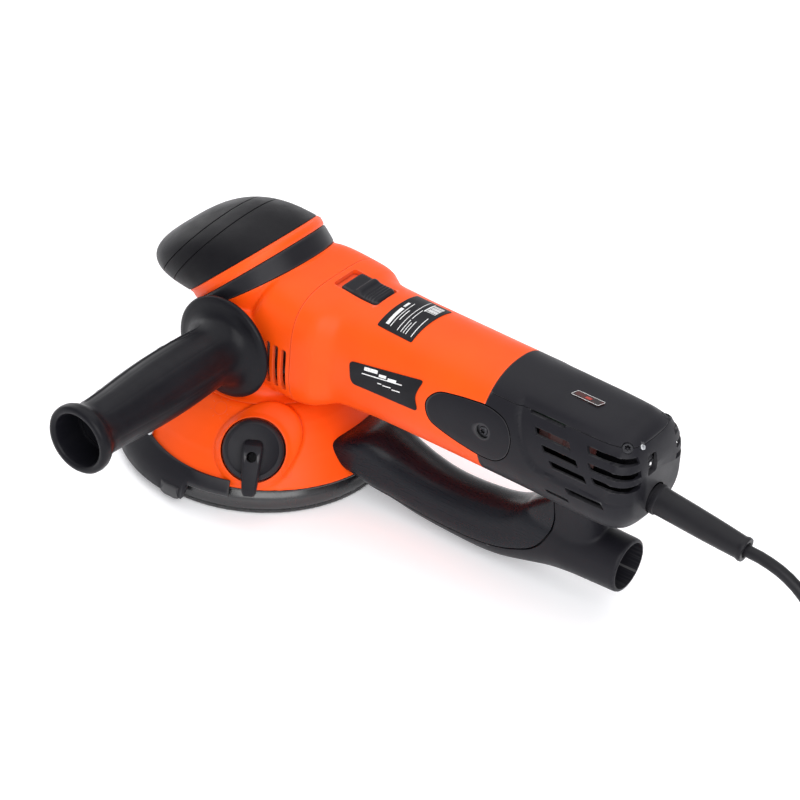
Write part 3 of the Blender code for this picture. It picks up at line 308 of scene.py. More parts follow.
def eased(table, x):
    """The values of a table of (x, ...) rows at x, on a smooth curve through the rows."""
    xs = [row[0] for row in table]
    x = min(max(x, xs[0]), xs[-1])
    k = max(0, min(len(xs) - 2, next((i - 1 for i, v in enumerate(xs) if v > x), len(xs) - 2)))
    span = xs[k + 1] - xs[k]
    t = (x - xs[k]) / span
    made = []
    for column in range(1, len(table[0])):
        values = [row[column] for row in table]

        def slope(i):
            low, high = max(0, i - 1), min(len(xs) - 1, i + 1)
            return (values[high] - values[low]) / (xs[high] - xs[low])

        a, b = values[k], values[k + 1]
        m, n = slope(k) * span, slope(k + 1) * span
        cubic = (2 * t**3 - 3 * t**2 + 1) * a + (t**3 - 2 * t**2 + t) * m
        made.append(cubic + (3 * t**2 - 2 * t**3) * b + (t**3 - t**2) * n)
    return made


def rounded(half_u, half_v, power, steps):
    points = []
    for angle in turns(steps):
        c, s = math.cos(angle), math.sin(angle)
        u = half_u * math.copysign(abs(c) ** (2 / power), c)
        v = half_v * math.copysign(abs(s) ** (2 / power), s)
        points.append((u, v))
    return points


def section(x, half_width, top, bottom, power, steps, inset=0.0):
    """A superelliptic section across the motor's axis."""
    half_height, middle = (top - bottom) / 2 - inset, (top + bottom) / 2
    outline = rounded(half_width - inset, half_height, power, steps)
    return [Vector((x, u, middle + v)) for u, v in outline]


def spaced(low, high, step):
    count = max(1, round((high - low) / step))
    return [low + (high - low) * i / count for i in range(count + 1)]


def surface_of(obj):
    return BVHTree.FromObject(obj, bpy.context.evaluated_depsgraph_get())


def dropped(surface, point, way):
    """Where a ray in millimetres meets a surface, and the surface's normal there."""
    place, normal, _, _ = surface.ray_cast(Vector(point) * MM, Vector(way))
    return (place / MM, normal) if place else (None, None)


# ---------------------------------------------------------------- materials

ORANGE = (0.87, 0.078, 0.0025)
CHARCOAL = (0.0095, 0.0092, 0.0125)
# Every material by a short name, filled in by make_finishes.
FINISHES = {}


class Finish:
    """A node material in the making: a Principled shader with object coordinates to hand."""

    def __init__(self, name, slot, colour, roughness, metallic=0.0):
        self.material = bpy.data.materials.new(name)
        self.material.use_nodes = True
        self.material["slot"] = slot
        self.tree = self.material.node_tree
        self.shader = self.tree.nodes["Principled BSDF"]
        self.fixed("Metallic", metallic)
        self.fixed("Base Color", (*colour, 1.0))
        self.fixed("Roughness", roughness)
        self.material.diffuse_color = (*colour, 1.0)
        self.where = self.add("ShaderNodeTexCoord").outputs["Object"]

    def add(self, kind, **settings):
        node = self.tree.nodes.new(kind)
        for key, value in settings.items():
            setattr(node, key, value)
        return node

    def link(self, source, target):
        self.tree.links.new(source, target)

    def scaled(self, stretch):
        """The coordinates stretched by different amounts along X, Y and Z."""
        mapping = self.add("ShaderNodeMapping")
        mapping.inputs["Scale"].default_value = stretch
        self.link(self.where, mapping.inputs["Vector"])
        return mapping.outputs["Vector"]

    def noise(self, feature_mm, detail=3.0, where=None, roughness=0.55):
        """Noise whose features are about this many millimetres across."""
        node = self.add("ShaderNodeTexNoise")
        node.inputs["Scale"].default_value = 1.0 / (feature_mm * MM)
        node.inputs["Detail"].default_value = detail
        node.inputs["Roughness"].default_value = roughness
        self.link(where or self.where, node.inputs["Vector"])
        return node.outputs["Fac"]

    def ranged(self, value, low, high, from_low=0.3, from_high=0.7):
        node = self.add("ShaderNodeMapRange")
        limits = {"From Min": from_low, "From Max": from_high, "To Min": low, "To Max": high}
        for name, number in limits.items():
            node.inputs[name].default_value = number
        self.link(value, node.inputs["Value"])
        return node.outputs["Result"]

    def mixed(self, share, a, b):
        """A colour between two, each a colour or an output."""
        node = self.add("ShaderNodeMix", data_type="RGBA")
        self.link(share, node.inputs["Factor"])
        for target, value in ((node.inputs["A"], a), (node.inputs["B"], b)):
            if isinstance(value, tuple):
                target.default_value = (*value, 1.0)
            else:
                self.link(value, target)
        return node.outputs["Result"]

    def colour(self, output):
        self.link(output, self.shader.inputs["Base Color"])

    def mottled(self, value, a, b, *reach):
        """A colour that wanders between two with a noise."""
        self.colour(self.mixed(self.ranged(value, 0.0, 1.0, *reach), a, b))

    def fixed(self, name, value):
        """One of the shader's own sockets, the same all over."""
        self.shader.inputs[name].default_value = value

    def roughness(self, output):
        self.link(output, self.shader.inputs["Roughness"])

    def edges(self):
        """How strongly each point is an outer edge."""
        geometry = self.add("ShaderNodeNewGeometry")
        return self.ranged(geometry.outputs["Pointiness"], 0.0, 1.0, 0.53, 0.62)

    def relief(self, *layers, round_mm=0.0):
        """Bump from (height output, depth in mm) layers, over edges rounded by this radius."""
        normal = None
        if round_mm:
            bevel = self.add("ShaderNodeBevel", samples=4)
            bevel.inputs["Radius"].default_value = round_mm * MM
            normal = bevel.outputs["Normal"]
        for height, depth in layers:
            bump = self.add("ShaderNodeBump")
            bump.inputs["Strength"].default_value = 1.0
            bump.inputs["Distance"].default_value = depth * MM
            self.link(height, bump.inputs["Height"])
            if normal:
                self.link(normal, bump.inputs["Normal"])
            normal = bump.outputs["Normal"]
        self.link(normal, self.shader.inputs["Normal"])


def shade(colour, share):
    return tuple(min(1.0, c * share) for c in colour)


def moulded_plastic(name, slot, colour, roughness, grain_mm, grain_depth, specular):
    """Moulded plastic: faint flow mottling, a spark-eroded grain, and edges painted paler, partly
    as rubbed wear and partly as a painted highlight.
    """
    made = Finish(name, slot, colour, roughness)
    flow = made.ranged(made.noise(38.0, 2.0), 0.0, 1.0)
    body = made.mixed(flow, shade(colour, 0.93), shade(colour, 1.07))
    # Convex edges are painted paler: partly rubbed wear, partly a painted highlight.
    worn_and_highlit_edge = tuple(c + (0.5 - c) * 0.12 for c in colour)
    made.colour(made.mixed(made.edges(), body, worn_and_highlit_edge))
    smudge = made.noise(16.0, 4.0)
    made.roughness(made.ranged(smudge, roughness - 0.05, roughness + 0.06))
    grain = made.noise(grain_mm, 2.0)
    made.relief((made.noise(26.0, 1.0), 0.02), (grain, grain_depth), round_mm=0.35)
    made.fixed("Specular IOR Level", specular)
    return made.material


def soft_rubber(name, slot, colour, roughness, sheen, grain_mm, grain_depth, specular):
    """Overmoulded rubber: a dull, slightly dusty skin with a fine pebbled grain."""
    made = Finish(name, slot, colour, roughness)
    dust = made.ranged(made.noise(7.0, 5.0), 0.0, 0.3, 0.45, 0.8)
    dusty = tuple(c + 0.006 for c in colour)
    patches = made.ranged(made.noise(30.0), 0.0, 1.0)
    body = made.mixed(patches, shade(colour, 0.85), shade(colour, 1.15))
    made.colour(made.mixed(dust, body, dusty))
    made.roughness(made.ranged(made.noise(11.0, 4.0), roughness - 0.06, roughness + 0.07))
    cells = made.add("ShaderNodeTexVoronoi")
    cells.inputs["Scale"].default_value = 1.0 / (grain_mm * MM)
    made.link(made.where, cells.inputs["Vector"])
    made.relief((cells.outputs["Distance"], grain_depth), round_mm=0.3)
    made.fixed("Sheen Weight", sheen)
    made.fixed("Sheen Roughness", 0.45)
    made.fixed("Specular IOR Level", specular)
    return made.material


def glossy_grip():
    """Polished moulding with an orange-peel skin and a few fine hairline scuffs."""
    made = Finish("gloss_black_plastic", "gloss_black", (0.0065, 0.007, 0.0105), 0.28)
    scuffs = made.noise(1.4, 6.0, made.scaled((0.12, 1.0, 1.0)))
    made.mottled(made.noise(40.0), (0.0055, 0.0062, 0.0095), (0.0075, 0.008, 0.0118))
    made.roughness(made.ranged(scuffs, 0.25, 0.36, 0.35, 0.75))
    made.relief((made.noise(3.5, 1.0), 0.012), round_mm=0.4)
    made.fixed("Specular IOR Level", 0.2)
    return made.material


def worked_metal(name, slot, colour, roughness, stretch, line_mm=0.35, depth=0.01):
    """Machined or drawn metal: fine lines along one way, and slight staining."""
    made = Finish(name, slot, colour, roughness, 1.0)
    lines = made.noise(line_mm, 3.0, made.scaled(stretch))
    made.mottled(made.noise(9.0, 5.0), shade(colour, 0.8), shade(colour, 1.08))
    made.roughness(made.ranged(lines, roughness - 0.08, roughness + 0.12))
    made.relief((lines, depth), round_mm=0.2)
    return made.material


def cast_metal():
    made = Finish("cast_aluminium_skin", "cast_aluminium", (0.6, 0.61, 0.63), 0.48, 1.0)
    pits = made.noise(0.9, 6.0)
    made.mottled(made.noise(12.0, 4.0), (0.5, 0.51, 0.52), (0.68, 0.69, 0.7))
    made.roughness(made.ranged(pits, 0.38, 0.6))
    made.relief((pits, 0.12), round_mm=0.5)
    return made.material


def enamelled_wire():
    """Copper wire laid side by side, under clear enamel."""
    made = Finish("wound_copper", "copper", (0.72, 0.3, 0.13), 0.35, 1.0)
    wires = made.add("ShaderNodeTexWave", wave_type="BANDS", bands_direction="DIAGONAL")
    wires.inputs["Scale"].default_value = 420.0
    wires.inputs["Distortion"].default_value = 1.5
    made.link(made.where, wires.inputs["Vector"])
    made.colour(made.mixed(wires.outputs["Fac"], (0.38, 0.13, 0.05), (0.8, 0.36, 0.17)))
    made.roughness(made.ranged(made.noise(2.0), 0.28, 0.42))
    made.relief((wires.outputs["Fac"], 0.2))
    return made.material


def pressed_carbon():
    made = Finish("pressed_carbon", "carbon", (0.022, 0.022, 0.023), 0.62)
    speck = made.noise(0.5, 6.0)
    made.mottled(speck, (0.012, 0.012, 0.013), (0.06, 0.06, 0.062))
    made.roughness(made.ranged(speck, 0.5, 0.75))
    made.relief((speck, 0.05))
    return made.material


def circuit_board():
    """Green solder mask over a grid of tracks and tinned pads, its green darkened as painted shade
    for the inside of the housing.
    """
    made = Finish("circuit_board", "circuit_board", (0.012, 0.1, 0.045), 0.35)
    tracks = made.add("ShaderNodeTexBrick")
    tracks.inputs["Scale"].default_value = 160.0
    tracks.inputs["Mortar Size"].default_value = 0.06
    made.link(made.where, tracks.inputs["Vector"])
    pads = made.add("ShaderNodeTexVoronoi")
    pads.inputs["Scale"].default_value = 330.0
    made.link(made.where, pads.inputs["Vector"])
    # The mask's green is darkened well below a board's own: painted shade for where it lies inside
    # the housing.
    shaded_solder_mask = made.mixed(tracks.outputs["Fac"], (0.004, 0.016, 0.009), (0.01, 0.04, 0.02))
    tinned = made.ranged(pads.outputs["Distance"], 1.0, 0.0, 0.16, 0.2)
    made.colour(made.mixed(tinned, shaded_solder_mask, (0.3, 0.3, 0.3)))
    made.roughness(made.ranged(made.noise(5.0), 0.28, 0.42))
    made.relief((tracks.outputs["Fac"], 0.03))
    return made.material


def hook_fabric():
    """The pad's fastening face: dark nylon hooks, seen as a coarse nap."""
    made = Finish("hook_nap", "hook_fabric", (0.03, 0.03, 0.032), 0.9)
    nap = made.noise(0.6, 5.0)
    made.mottled(nap, (0.008, 0.008, 0.009), (0.075, 0.075, 0.08))
    made.roughness(made.ranged(nap, 0.75, 0.98))
    made.relief((nap, 0.5))
    made.fixed("Sheen Weight", 0.3)
    return made.material


def printed_plate():
    """Black printed film with a faint satin weave of its own."""
    made = Finish("printed_plate", "plate_black", (0.012, 0.012, 0.014), 0.42)
    made.fixed("Specular IOR Level", 0.12)
    film = made.noise(0.8, 3.0)
    made.mottled(made.noise(14.0), (0.009, 0.009, 0.011), (0.015, 0.015, 0.018))
    made.roughness(made.ranged(film, 0.3, 0.44))
    made.relief((film, 0.01), round_mm=0.15)
    return made.material


def pale_print():
    made = Finish("pale_print", "plate_black", (0.7, 0.7, 0.7), 0.45)
    worn = made.noise(1.2, 5.0)
    made.mottled(worn, (0.5, 0.5, 0.5), (0.78, 0.78, 0.78), 0.3, 0.5)
    made.roughness(made.ranged(worn, 0.4, 0.55))
    return made.material


def smoked_lens():
    made = Finish("smoked_lens", "smoked_lens", (0.05, 0.018, 0.014), 0.08)
    glow = made.noise(4.0, 2.0)
    made.mottled(glow, (0.022, 0.014, 0.015), (0.06, 0.012, 0.01), 0.5, 0.62)
    made.roughness(made.ranged(made.noise(2.0), 0.06, 0.14))
    made.fixed("Coat Weight", 0.6)
    return made.material


def lamp_red():
    made = Finish("lamp_red", "smoked_lens", (0.5, 0.03, 0.015), 0.3)
    made.mottled(made.noise(1.5), (0.2, 0.015, 0.01), (0.4, 0.04, 0.025))
    made.roughness(made.ranged(made.noise(0.8), 0.25, 0.4))
    return made.material


def make_finishes():
    # short name: name, slot, colour, roughness, grain size and depth in mm, specular level
    plastics = {
        "orange": ("orange_moulding", "orange_plastic", ORANGE, 0.42, 0.35, 0.012, 0.22),
        "charcoal": ("charcoal_moulding", "charcoal_plastic", CHARCOAL, 0.44, 0.45, 0.03, 0.17),
        "band": (
            "band_moulding", "charcoal_plastic", (0.011, 0.011, 0.014), 0.36, 0.5, 0.012, 0.18
        ),
        "deep_red": (
            "deep_red_moulding", "orange_plastic", (0.06, 0.005, 0.003), 0.5, 0.4, 0.02, 0.2
        ),
    }
    # short name: name, slot, colour, roughness, sheen, grain size and depth in mm, specular level
    rubbers = {
        "cap": ("cap_rubber", "black_rubber", (0.006, 0.0057, 0.0074), 0.42, 0.0, 0.5, 0.03, 0.12),
        "grip": (
            "handle_rubber", "black_rubber", (0.0065, 0.0064, 0.0088), 0.34, 0.0, 0.7, 0.012, 0.14
        ),
        "cable": (
            "cable_rubber", "black_rubber", (0.0075, 0.0072, 0.0095), 0.4, 0.02, 0.9, 0.01, 0.22
        ),
        # This row is near black and barely reflective: painted shade, for the seam round the brush
        # covers and behind the rear vents.
        "seal": ("seal_rubber", "black_rubber", (0.0015, 0.0015, 0.002), 0.8, 0.0, 0.5, 0.01, 0.02),
        "foam": ("pad_edge", "foam_rubber", (0.009, 0.009, 0.011), 0.24, 0.03, 0.8, 0.01, 0.8),
    }
    # short name: name, slot, colour, roughness, stretch of the lines, their size and depth in mm
    metals = {
        "black_steel": ("blackened_steel", "steel", (0.05, 0.05, 0.055), 0.34, (1.0, 1.0, 0.1)),
        "steel": ("machined_steel", "steel", (0.55, 0.56, 0.58), 0.28, (1.0, 0.06, 0.06)),
        "ground_steel": ("ground_steel", "steel", (0.6, 0.6, 0.61), 0.22, (0.08, 0.08, 1.0)),
        "laminated_steel": (
            "laminated_steel", "steel", (0.4, 0.4, 0.42), 0.42, (1.0, 0.04, 0.04), 0.5, 0.2,
        ),
        "copper": ("turned_copper", "copper", (0.75, 0.34, 0.17), 0.3, (1.0, 0.08, 0.08)),
        "brass": ("drawn_brass", "brass", (0.8, 0.6, 0.28), 0.3, (0.08, 1.0, 1.0)),
    }
    special = {
        "hooks": hook_fabric,
        "gloss": glossy_grip,
        "plate": printed_plate,
        "print": pale_print,
        "lens": smoked_lens,
        "lamp": lamp_red,
        "aluminium": cast_metal,
        "winding": enamelled_wire,
        "carbon": pressed_carbon,
        "board": circuit_board,
    }
    for kind, rows in ((moulded_plastic, plastics), (soft_rubber, rubbers), (worked_metal, metals)):
        FINISHES.update({key: kind(*row) for key, row in rows.items()})
    FINISHES.update({key: kind() for key, kind in special.items()})


# ---------------------------------------------------------------- camera, floor and light


def camera():
    azimuth, elevation, roll = (math.radians(angle) for angle in (AZIMUTH, ELEVATION, ROLL))
    level = math.cos(elevation)
    back = Vector((math.sin(azimuth) * level, -math.cos(azimuth) * level, math.sin(elevation)))
    right = Vector((math.cos(azimuth), math.sin(azimuth), 0))
    up = back.cross(right)
    across = right * math.cos(roll) + up * math.sin(roll)
    upward = up * math.cos(roll) - right * math.sin(roll)
    place = LOOK_AT + across * OFF_ACROSS + upward * OFF_UP + back * DISTANCE
    data = bpy.data.cameras.new("camera")
    data.lens, data.sensor_width = LENS, SENSOR
    data.clip_start, data.clip_end = 0.05, 20.0
    made = bpy.data.objects.new("camera", data)
    turn = axes(across, upward, back)
    made.matrix_world = Matrix.Translation(place * MM) @ turn
    bpy.context.scene.collection.objects.link(made)
    bpy.context.scene.camera = made


def soft_light(name, place, aim, size, watts):
    data = bpy.data.lights.new(name, "AREA")
    data.shape = "RECTANGLE"
    data.size, data.size_y = size
    data.energy = watts
    made = bpy.data.objects.new(name, data)
    made.location = Vector(place)
    made.rotation_mode = "QUATERNION"
    made.rotation_quaternion = (Vector(place) - Vector(aim)).to_track_quat("Z", "Y")
    bpy.context.scene.collection.objects.link(made)


def studio():
    """A white floor that runs far back, a white surround and three soft boxes."""
    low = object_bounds()[0].z
    mesh = bmesh.new()
    bmesh.ops.create_grid(mesh, x_segments=8, y_segments=8, size=6.0)
    data = bpy.data.meshes.new("floor")
    mesh.to_mesh(data)
    mesh.free()
    floor = bpy.data.objects.new("floor", data)
    floor.location.z = low - 0.0002
    bpy.context.scene.collection.objects.link(floor)
    paper = Finish("paper", "none", (0.93, 0.93, 0.94), 0.7)
    paper.mottled(paper.noise(300.0), (0.92, 0.92, 0.935), (0.95, 0.95, 0.96))
    paper.fixed("Emission Color", (0.97, 0.97, 1.0, 1.0))
    paper.fixed("Emission Strength", 0.2)
    data.materials.append(paper.material)
    world = bpy.data.worlds.new("surround")
    world.use_nodes = True
    nodes, links = world.node_tree.nodes, world.node_tree.links
    apart = nodes.new("ShaderNodeSeparateXYZ")
    links.new(nodes.new("ShaderNodeTexCoord").outputs["Generated"], apart.inputs["Vector"])
    fade = nodes.new("ShaderNodeMapRange")
    fade.interpolation_type = "SMOOTHSTEP"
    for name, number in (("From Min", 0.05), ("From Max", 0.6), ("To Min", 1.0), ("To Max", 0.42)):
        fade.inputs[name].default_value = number
    links.new(apart.outputs["Z"], fade.inputs["Value"])
    links.new(fade.outputs["Result"], nodes["Background"].inputs["Strength"])
    nodes["Background"].inputs["Color"].default_value = (0.98, 0.98, 1.0, 1.0)
    bpy.context.scene.world = world
    aim = (0.1, 0.0, 0.06)
    soft_light("key_box", (1.2, -1.1, 1.2), aim, (1.8, 1.5), 29.0)
    soft_light("top_box", (-0.2, 0.3, 1.8), aim, (2.8, 2.4), 26.0)
    soft_light("rim_box", (-1.4, 0.5, 0.8), aim, (0.9, 1.2), 6.0)
    bpy.context.scene.view_settings.view_transform = "Standard"


# ---------------------------------------------------------------- forms


# Sections along the motor's axis: x, half width, top, bottom and the power of the superellipse.
BARREL = (
    (2.0, 36.0, 97.0, 57.0, 2.4), (14.0, 39.5, 110.0, 56.0, 2.5),
    (20.0, 40.5, 126.0, 55.6, 2.6), (25.0, 40.5, 130.6, 55.5, 2.9),
    (31.0, 40.5, 131.0, 55.5, 3.1), (38.0, 40.5, 130.2, 55.5, 3.3),
    (48.0, 40.5, 129.0, 55.5, 3.4), (56.0, 40.0, 128.2, 57.0, 3.4),
    (61.0, 39.0, 127.8, 58.6, 3.2), (65.0, 37.0, 127.4, 59.8, 2.9),
    (69.5, 34.8, 127.2, 60.5, 2.6), (75.0, 33.9, 127.1, 60.8, 2.5),
    (84.0, 33.7, 127.3, 60.9, 2.4), (95.0, 33.6, 127.7, 60.9, 2.25),
    (130.0, 33.4, 127.6, 61.1, 2.2), (166.0, 33.0, 127.0, 61.4, 2.25),
    (200.0, 32.7, 126.2, 61.8, 2.35), (236.0, 32.3, 124.5, 62.4, 2.55),
    (243.0, 31.6, 122.8, 63.2, 2.6), (247.0, 30.9, 121.4, 64.4, 2.6),
    (250.2, 29.6, 119.4, 66.0, 2.6), (252.4, 27.9, 116.4, 68.2, 2.65),
    (254.4, 25.4, 111.6, 71.0, 2.7), (256.0, 22.4, 105.5, 74.0, 2.8),
)
DUCT = (
    (52.0, 20.6, 36.0, 21.0, 4.6), (66.0, 20.6, 37.0, 20.4, 4.6),
    (74.0, 20.4, 41.0, 18.8, 4.2), (82.5, 20.0, 44.6, 16.0, 3.6),
    (89.0, 19.0, 45.2, 12.0, 3.0), (102.0, 17.4, 41.8, 8.4, 2.4),
    (120.0, 16.5, 37.4, 5.2, 2.3), (137.0, 16.1, 36.3, 3.6, 2.2),
    (160.0, 16.0, 38.6, 3.0, 2.2), (172.0, 16.1, 41.4, 4.2, 2.2),
    (180.0, 16.2, 45.0, 6.0, 2.2), (188.0, 16.2, 50.0, 8.2, 2.2),
    (204.0, 15.9, 52.0, 12.2, 2.0), (218.0, 15.6, 48.0, 14.8, 2.0),
    (234.0, 15.4, 47.3, 15.8, 2.0), (247.0, 15.3, 47.3, 16.5, 2.0),
)


def barrel(start, end, inset=0.0, step=1.4, steps=144):
    return skin([section(x, *eased(BARREL, x), steps, inset) for x in spaced(start, end, step)])


def ring_point(angle, along, across, height, shift=0.0):
    """A point of the cap's leaning oval, at a height over the ring's plane."""
    forward = along * math.cos(angle) + shift + CAP_BACK
    tilt_c, tilt_s = math.cos(CAP_TILT), math.sin(CAP_TILT)
    x = CAP_X + forward * tilt_c - height * tilt_s
    z = CAP_Z + forward * tilt_s + height * tilt_c
    return Vector((x, across * math.sin(angle), z))


def band_drop(angle):
    return STRIPE_H + SEAM + (BAND_H - STRIPE_H) * (0.62 + 0.38 * math.cos(angle))


def above_plane(angle_to_height, low, high, size=90.0):
    """A slab over a leaning plane through the cap, from its height at the back and at the front."""
    back, front = (ring_point(a, CAP_ALONG, 0, -angle_to_height(a)) for a in (0.0, math.pi))
    along = (back - front).normalized()
    up = Vector((-along.z, 0, along.x))
    frame = axes(along, Vector((0, 1, 0)), up)
    here = Matrix.Translation((back + front) / 2) @ frame
    return block((-size, -size, low), (size, size, high), here)


def column(inset, low, above, flare, steps=144):
    """The head's upright part: a level oval foot that eases into the leaning edge of the band."""
    rings = []
    for share in (None, *spaced(0.0, 1.0, 0.035), 9.0):
        ring = []
        for angle in turns(steps):
            out = around(1.0, angle)
            foot = Vector((4.0 + (38.5 - inset) * out.x, (41.0 - inset) * out.y, SHOULDER_Z + SEAM))
            drop = band_drop(angle) + SEAM
            oval = (CAP_ALONG - 0.4 - inset, CAP_ACROSS - 0.2 - inset)
            edge = ring_point(angle, *oval, -drop)
            if share is None:
                point = Vector((foot.x, foot.y, low))
            elif share > 1.0:
                point = ring_point(angle, *oval, -drop + above)
            else:
                ease = share * share * (3 - 2 * share)
                point = foot.lerp(edge, ease)
                point.z += (edge.z - foot.z) * (share - ease)
            rise = max(0.0, point.z - foot.z)
            if flare and rise < flare:
                point += out * (flare - math.sqrt(flare**2 - (flare - rise) ** 2))
            ring.append(point)
        rings.append(ring)
    return skin(rings)


def prism_along_y(outline, low, high):
    """An outline of (x, z) points pushed through from one y to another."""
    return skin([[Vector((x, y, z)) for x, z in outline] for y in (low, high)])


def prism_along_z(outline, low, high, to_world=Matrix()):
    return skin([[to_world @ Vector((x, y, z)) for x, y in outline] for z in (low, high)])


def soft_outline(corners, radius, steps=5, longest=3.0):
    """An outline with its corners rounded and its long edges divided."""
    points = []
    count = len(corners)
    for i in range(count):
        before, here, after = (Vector((*corners[(i + k) % count], 0)) for k in (-1, 0, 1))
        reach = min(radius, (before - here).length * 0.48, (after - here).length * 0.48)
        start = here + (before - here).normalized() * reach
        end = here + (after - here).normalized() * reach
        for j in range(steps + 1):
            t = j / steps
            p = start * (1 - t) ** 2 + here * 2 * t * (1 - t) + end * t**2
            points.append((p.x, p.y))
    fine = []
    for (a, b), (c, d) in zip(points, points[1:] + points[:1]):
        pieces = max(1, math.ceil(math.hypot(c - a, d - b) / longest))
        fine += [(a + (c - a) * k / pieces, b + (d - b) * k / pieces) for k in range(pieces)]
    return fine


def soft_box(left, right, low, high, radius, *fineness):
    """A rectangle's outline with rounded corners."""
    return soft_outline(((left, low), (right, low), (right, high), (left, high)), radius, *fineness)


def draped(surface, outline, to_world, way, low, high, crown=0.0, middle=None, bore=0.0):
    """A thin plate laid on a surface: the outline is dropped on it and shrunk in to its middle."""
    middle = middle or [sum(values) / len(outline) for values in zip(*outline)]
    loops = []
    start = 0.0 if bore else 0.002
    inner = (start, 0.1, 0.2, 0.3, 0.4, 0.5, 0.6, 0.7, 0.78, 0.84, 0.9, 0.96, 1.0)
    for lift, shares in ((low, (start, 1.0)), (high, inner[::-1])):
        for share in shares:
            ring = []
            for a, b in outline:
                off = Vector((a - middle[0], b - middle[1]))
                u, v = Vector(middle) + off * share + off.normalized() * bore * (1 - share)
                place, normal = dropped(surface, to_world(u, v), way)
                normal = -Vector(way) if bore else normal
                rise = lift if lift == low else lift + crown * (1 - share**6)
                ring.append(place + normal * rise)
            loops.append(ring)
    return skin(loops, closed=bool(bore))


# ---------------------------------------------------------------- cord and plug


def blend_in(share):
    share = min(1.0, max(0.0, share))
    return share * share * (3 - 2 * share)


def cord_route():
    """Down from the sleeve to the floor, round the coil layer by layer, and over it to the plug."""
    way = (SLEEVE_TO - SLEEVE_FROM).normalized()
    free = [SLEEVE_TO - way * 10, SLEEVE_TO, (322, 0, 74.9), (334, 0, 72.0), (345.2, 0, 65.9)]
    free += [(354.2, 0.8, 56.0), (360.3, 2.8, 43), (365.2, 5.4, 28.6), (370.6, 8.9, 16.4)]
    free += [(378, 14.2, 8.4), (386, 22, 4.2), (396, 32, 3.5), (409, 43, 3.4), (424, 50.5, 3.4)]
    points = smooth_route([*free, (440.2, 53.4, 3.4)], 6.0)
    outer_first = [COIL_MID_R + CORD_D * (1.5 - k) for k in range(COIL_ACROSS)]
    start, steps = math.radians(98.0), 36
    total = COIL_LAYERS * COIL_ACROSS - 1 + 98.0 / 360.0
    for i in range(1, int(total * steps) + 1):
        turn = i / steps
        layer, place = divmod(turn, COIL_ACROSS)
        radii = outer_first if layer % 2 == 0 else outer_first[::-1]
        k = int(place)
        ease = blend_in((place - k - 0.5) / 0.5)
        radius = radii[k] + (radii[min(k + 1, COIL_ACROSS - 1)] - radii[k]) * ease
        height = 3.6 + CORD_D * layer
        if k == COIL_ACROSS - 1 and layer < COIL_LAYERS - 1:
            height += CORD_D * (2 * ease - ease * ease)
        height += (CORD_D + 0.4) * blend_in((turn - total + 0.34) / 0.34)
        angle = start - 2 * math.pi * turn
        x, y = COIL_X + radius * math.cos(angle), COIL_Y + radius * math.sin(angle)
        points.append(Vector((x, y, height)))
    inner = outer_first[-1]
    tail = PLUG_TAIL + Vector((0, -8.0, 0.0))
    top = points[-1].z
    begin = Vector((COIL_X + inner, COIL_Y - 1.0, top))
    for share in spaced(0.0, 1.0, 0.1)[1:]:
        across = blend_in(share)
        x, y = begin.x + (tail.x - begin.x) * across, begin.y + (tail.y - begin.y) * share
        points.append(Vector((x, y, top + (tail.z - top) * share)))
    return points


def cord_and_plug():
    points = cord_route()
    cord = tube("mains_cord", points, CORD_D / 2, "cable", sides=5)
    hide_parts("cord_tube", "cord_coil")
    along = Vector((0, -math.cos(PLUG_TIP), -math.sin(PLUG_TIP)))
    here = about(PLUG_TAIL, along)
    profile = [(3.5, -0.4), (5.0, 0.0), (5.4, 1.2), (5.3, 3.0)]
    for i in range(7):
        z = 4.0 + i * 2.2
        for radius, rise in ((5.3, 0.0), (4.7, 0.5), (4.7, 1.2), (5.4, 1.7)):
            profile.append((radius + 0.28 * i, z + rise))
    profile += [(8.0, 21.0), (11.2, 23.6), (14.4, 27.2), (16.9, 31.4), (17.9, 35.0), (18.2, 38.0)]
    profile += [(18.2, 41.6), (17.8, 43.2), (16.6, 44.0), (0.0, 44.0), (0.0, -0.4)]
    body = finished(solid("plug_moulding", turned(profile, 72, here)), "cable", "plug_body")
    for node, side in (("plug_pin_1", -9.5), ("plug_pin_2", 9.5)):
        foot = about(PLUG_TAIL + along * 44.2 + Vector((side, 0, 0)), along)
        shank = [(0, 0), (2.0, 0), (2.05, 9.6), (2.4, 9.9), (2.4, 17.2), (1.9, 18.6)]
        shank += [(0.9, 19.0), (0, 19.0)]
        finished(solid(f"contact_{node}", turned(shank, 32, foot)), "brass", node)
    tie = coil_tie()


def coil_tie():
    """The strap round the turns, higher on the inside where the end of the cord climbs out."""
    out = around(1.0, math.radians(45.0))
    across = Vector((-out.y, out.x, 0))
    centre = Vector((COIL_X, COIL_Y, 0))
    low, near, far = 0.1, COIL_MID_R - 13.9, COIL_MID_R + 13.9
    loop = soft_outline(((near, low), (far, low), (far, 20.6), (near + 8, 25.0), (near, 25.0)), 4.0)
    middle = Vector((COIL_MID_R, 12.0))
    rings = []
    for thick, side in ((0.0, -4.0), (1.0, -4.0), (1.0, 4.0), (0.0, 4.0)):
        ring = []
        for r, z in loop:
            away = (Vector((r, z)) - middle).normalized() * thick
            up = Vector((0, 0, max(0.05, z + away.y)))
            ring.append(centre + out * (r + away.x) + across * side + up)
        rings.append(ring)
    return finished(solid("cord_strap", skin(rings, closed=True)), "cable", "cord_tie")


# ---------------------------------------------------------------- head, motor and rear shells


SIDES = ((-1, "left"), (1, "right"))
COVER_CORNERS = (
    (131.5, 101.0), (137.5, 108.6), (150.0, 110.6), (169.0, 112.2), (180.5, 109.4), (186.0, 101.5),
    (184.8, 90.5), (177.5, 83.2), (168.0, 82.2), (150.0, 85.6), (135.0, 90.5),
)
COVER_OUTLINE = soft_outline(COVER_CORNERS, 9.0, 4, 2.2)
PANEL_EDGE = (
    (183.0, 121.0), (185.5, 114.0), (191.5, 102.0), (196.5, 94.5), (202.0, 90.8), (216.0, 89.4),
    (250.0, 88.8),
)
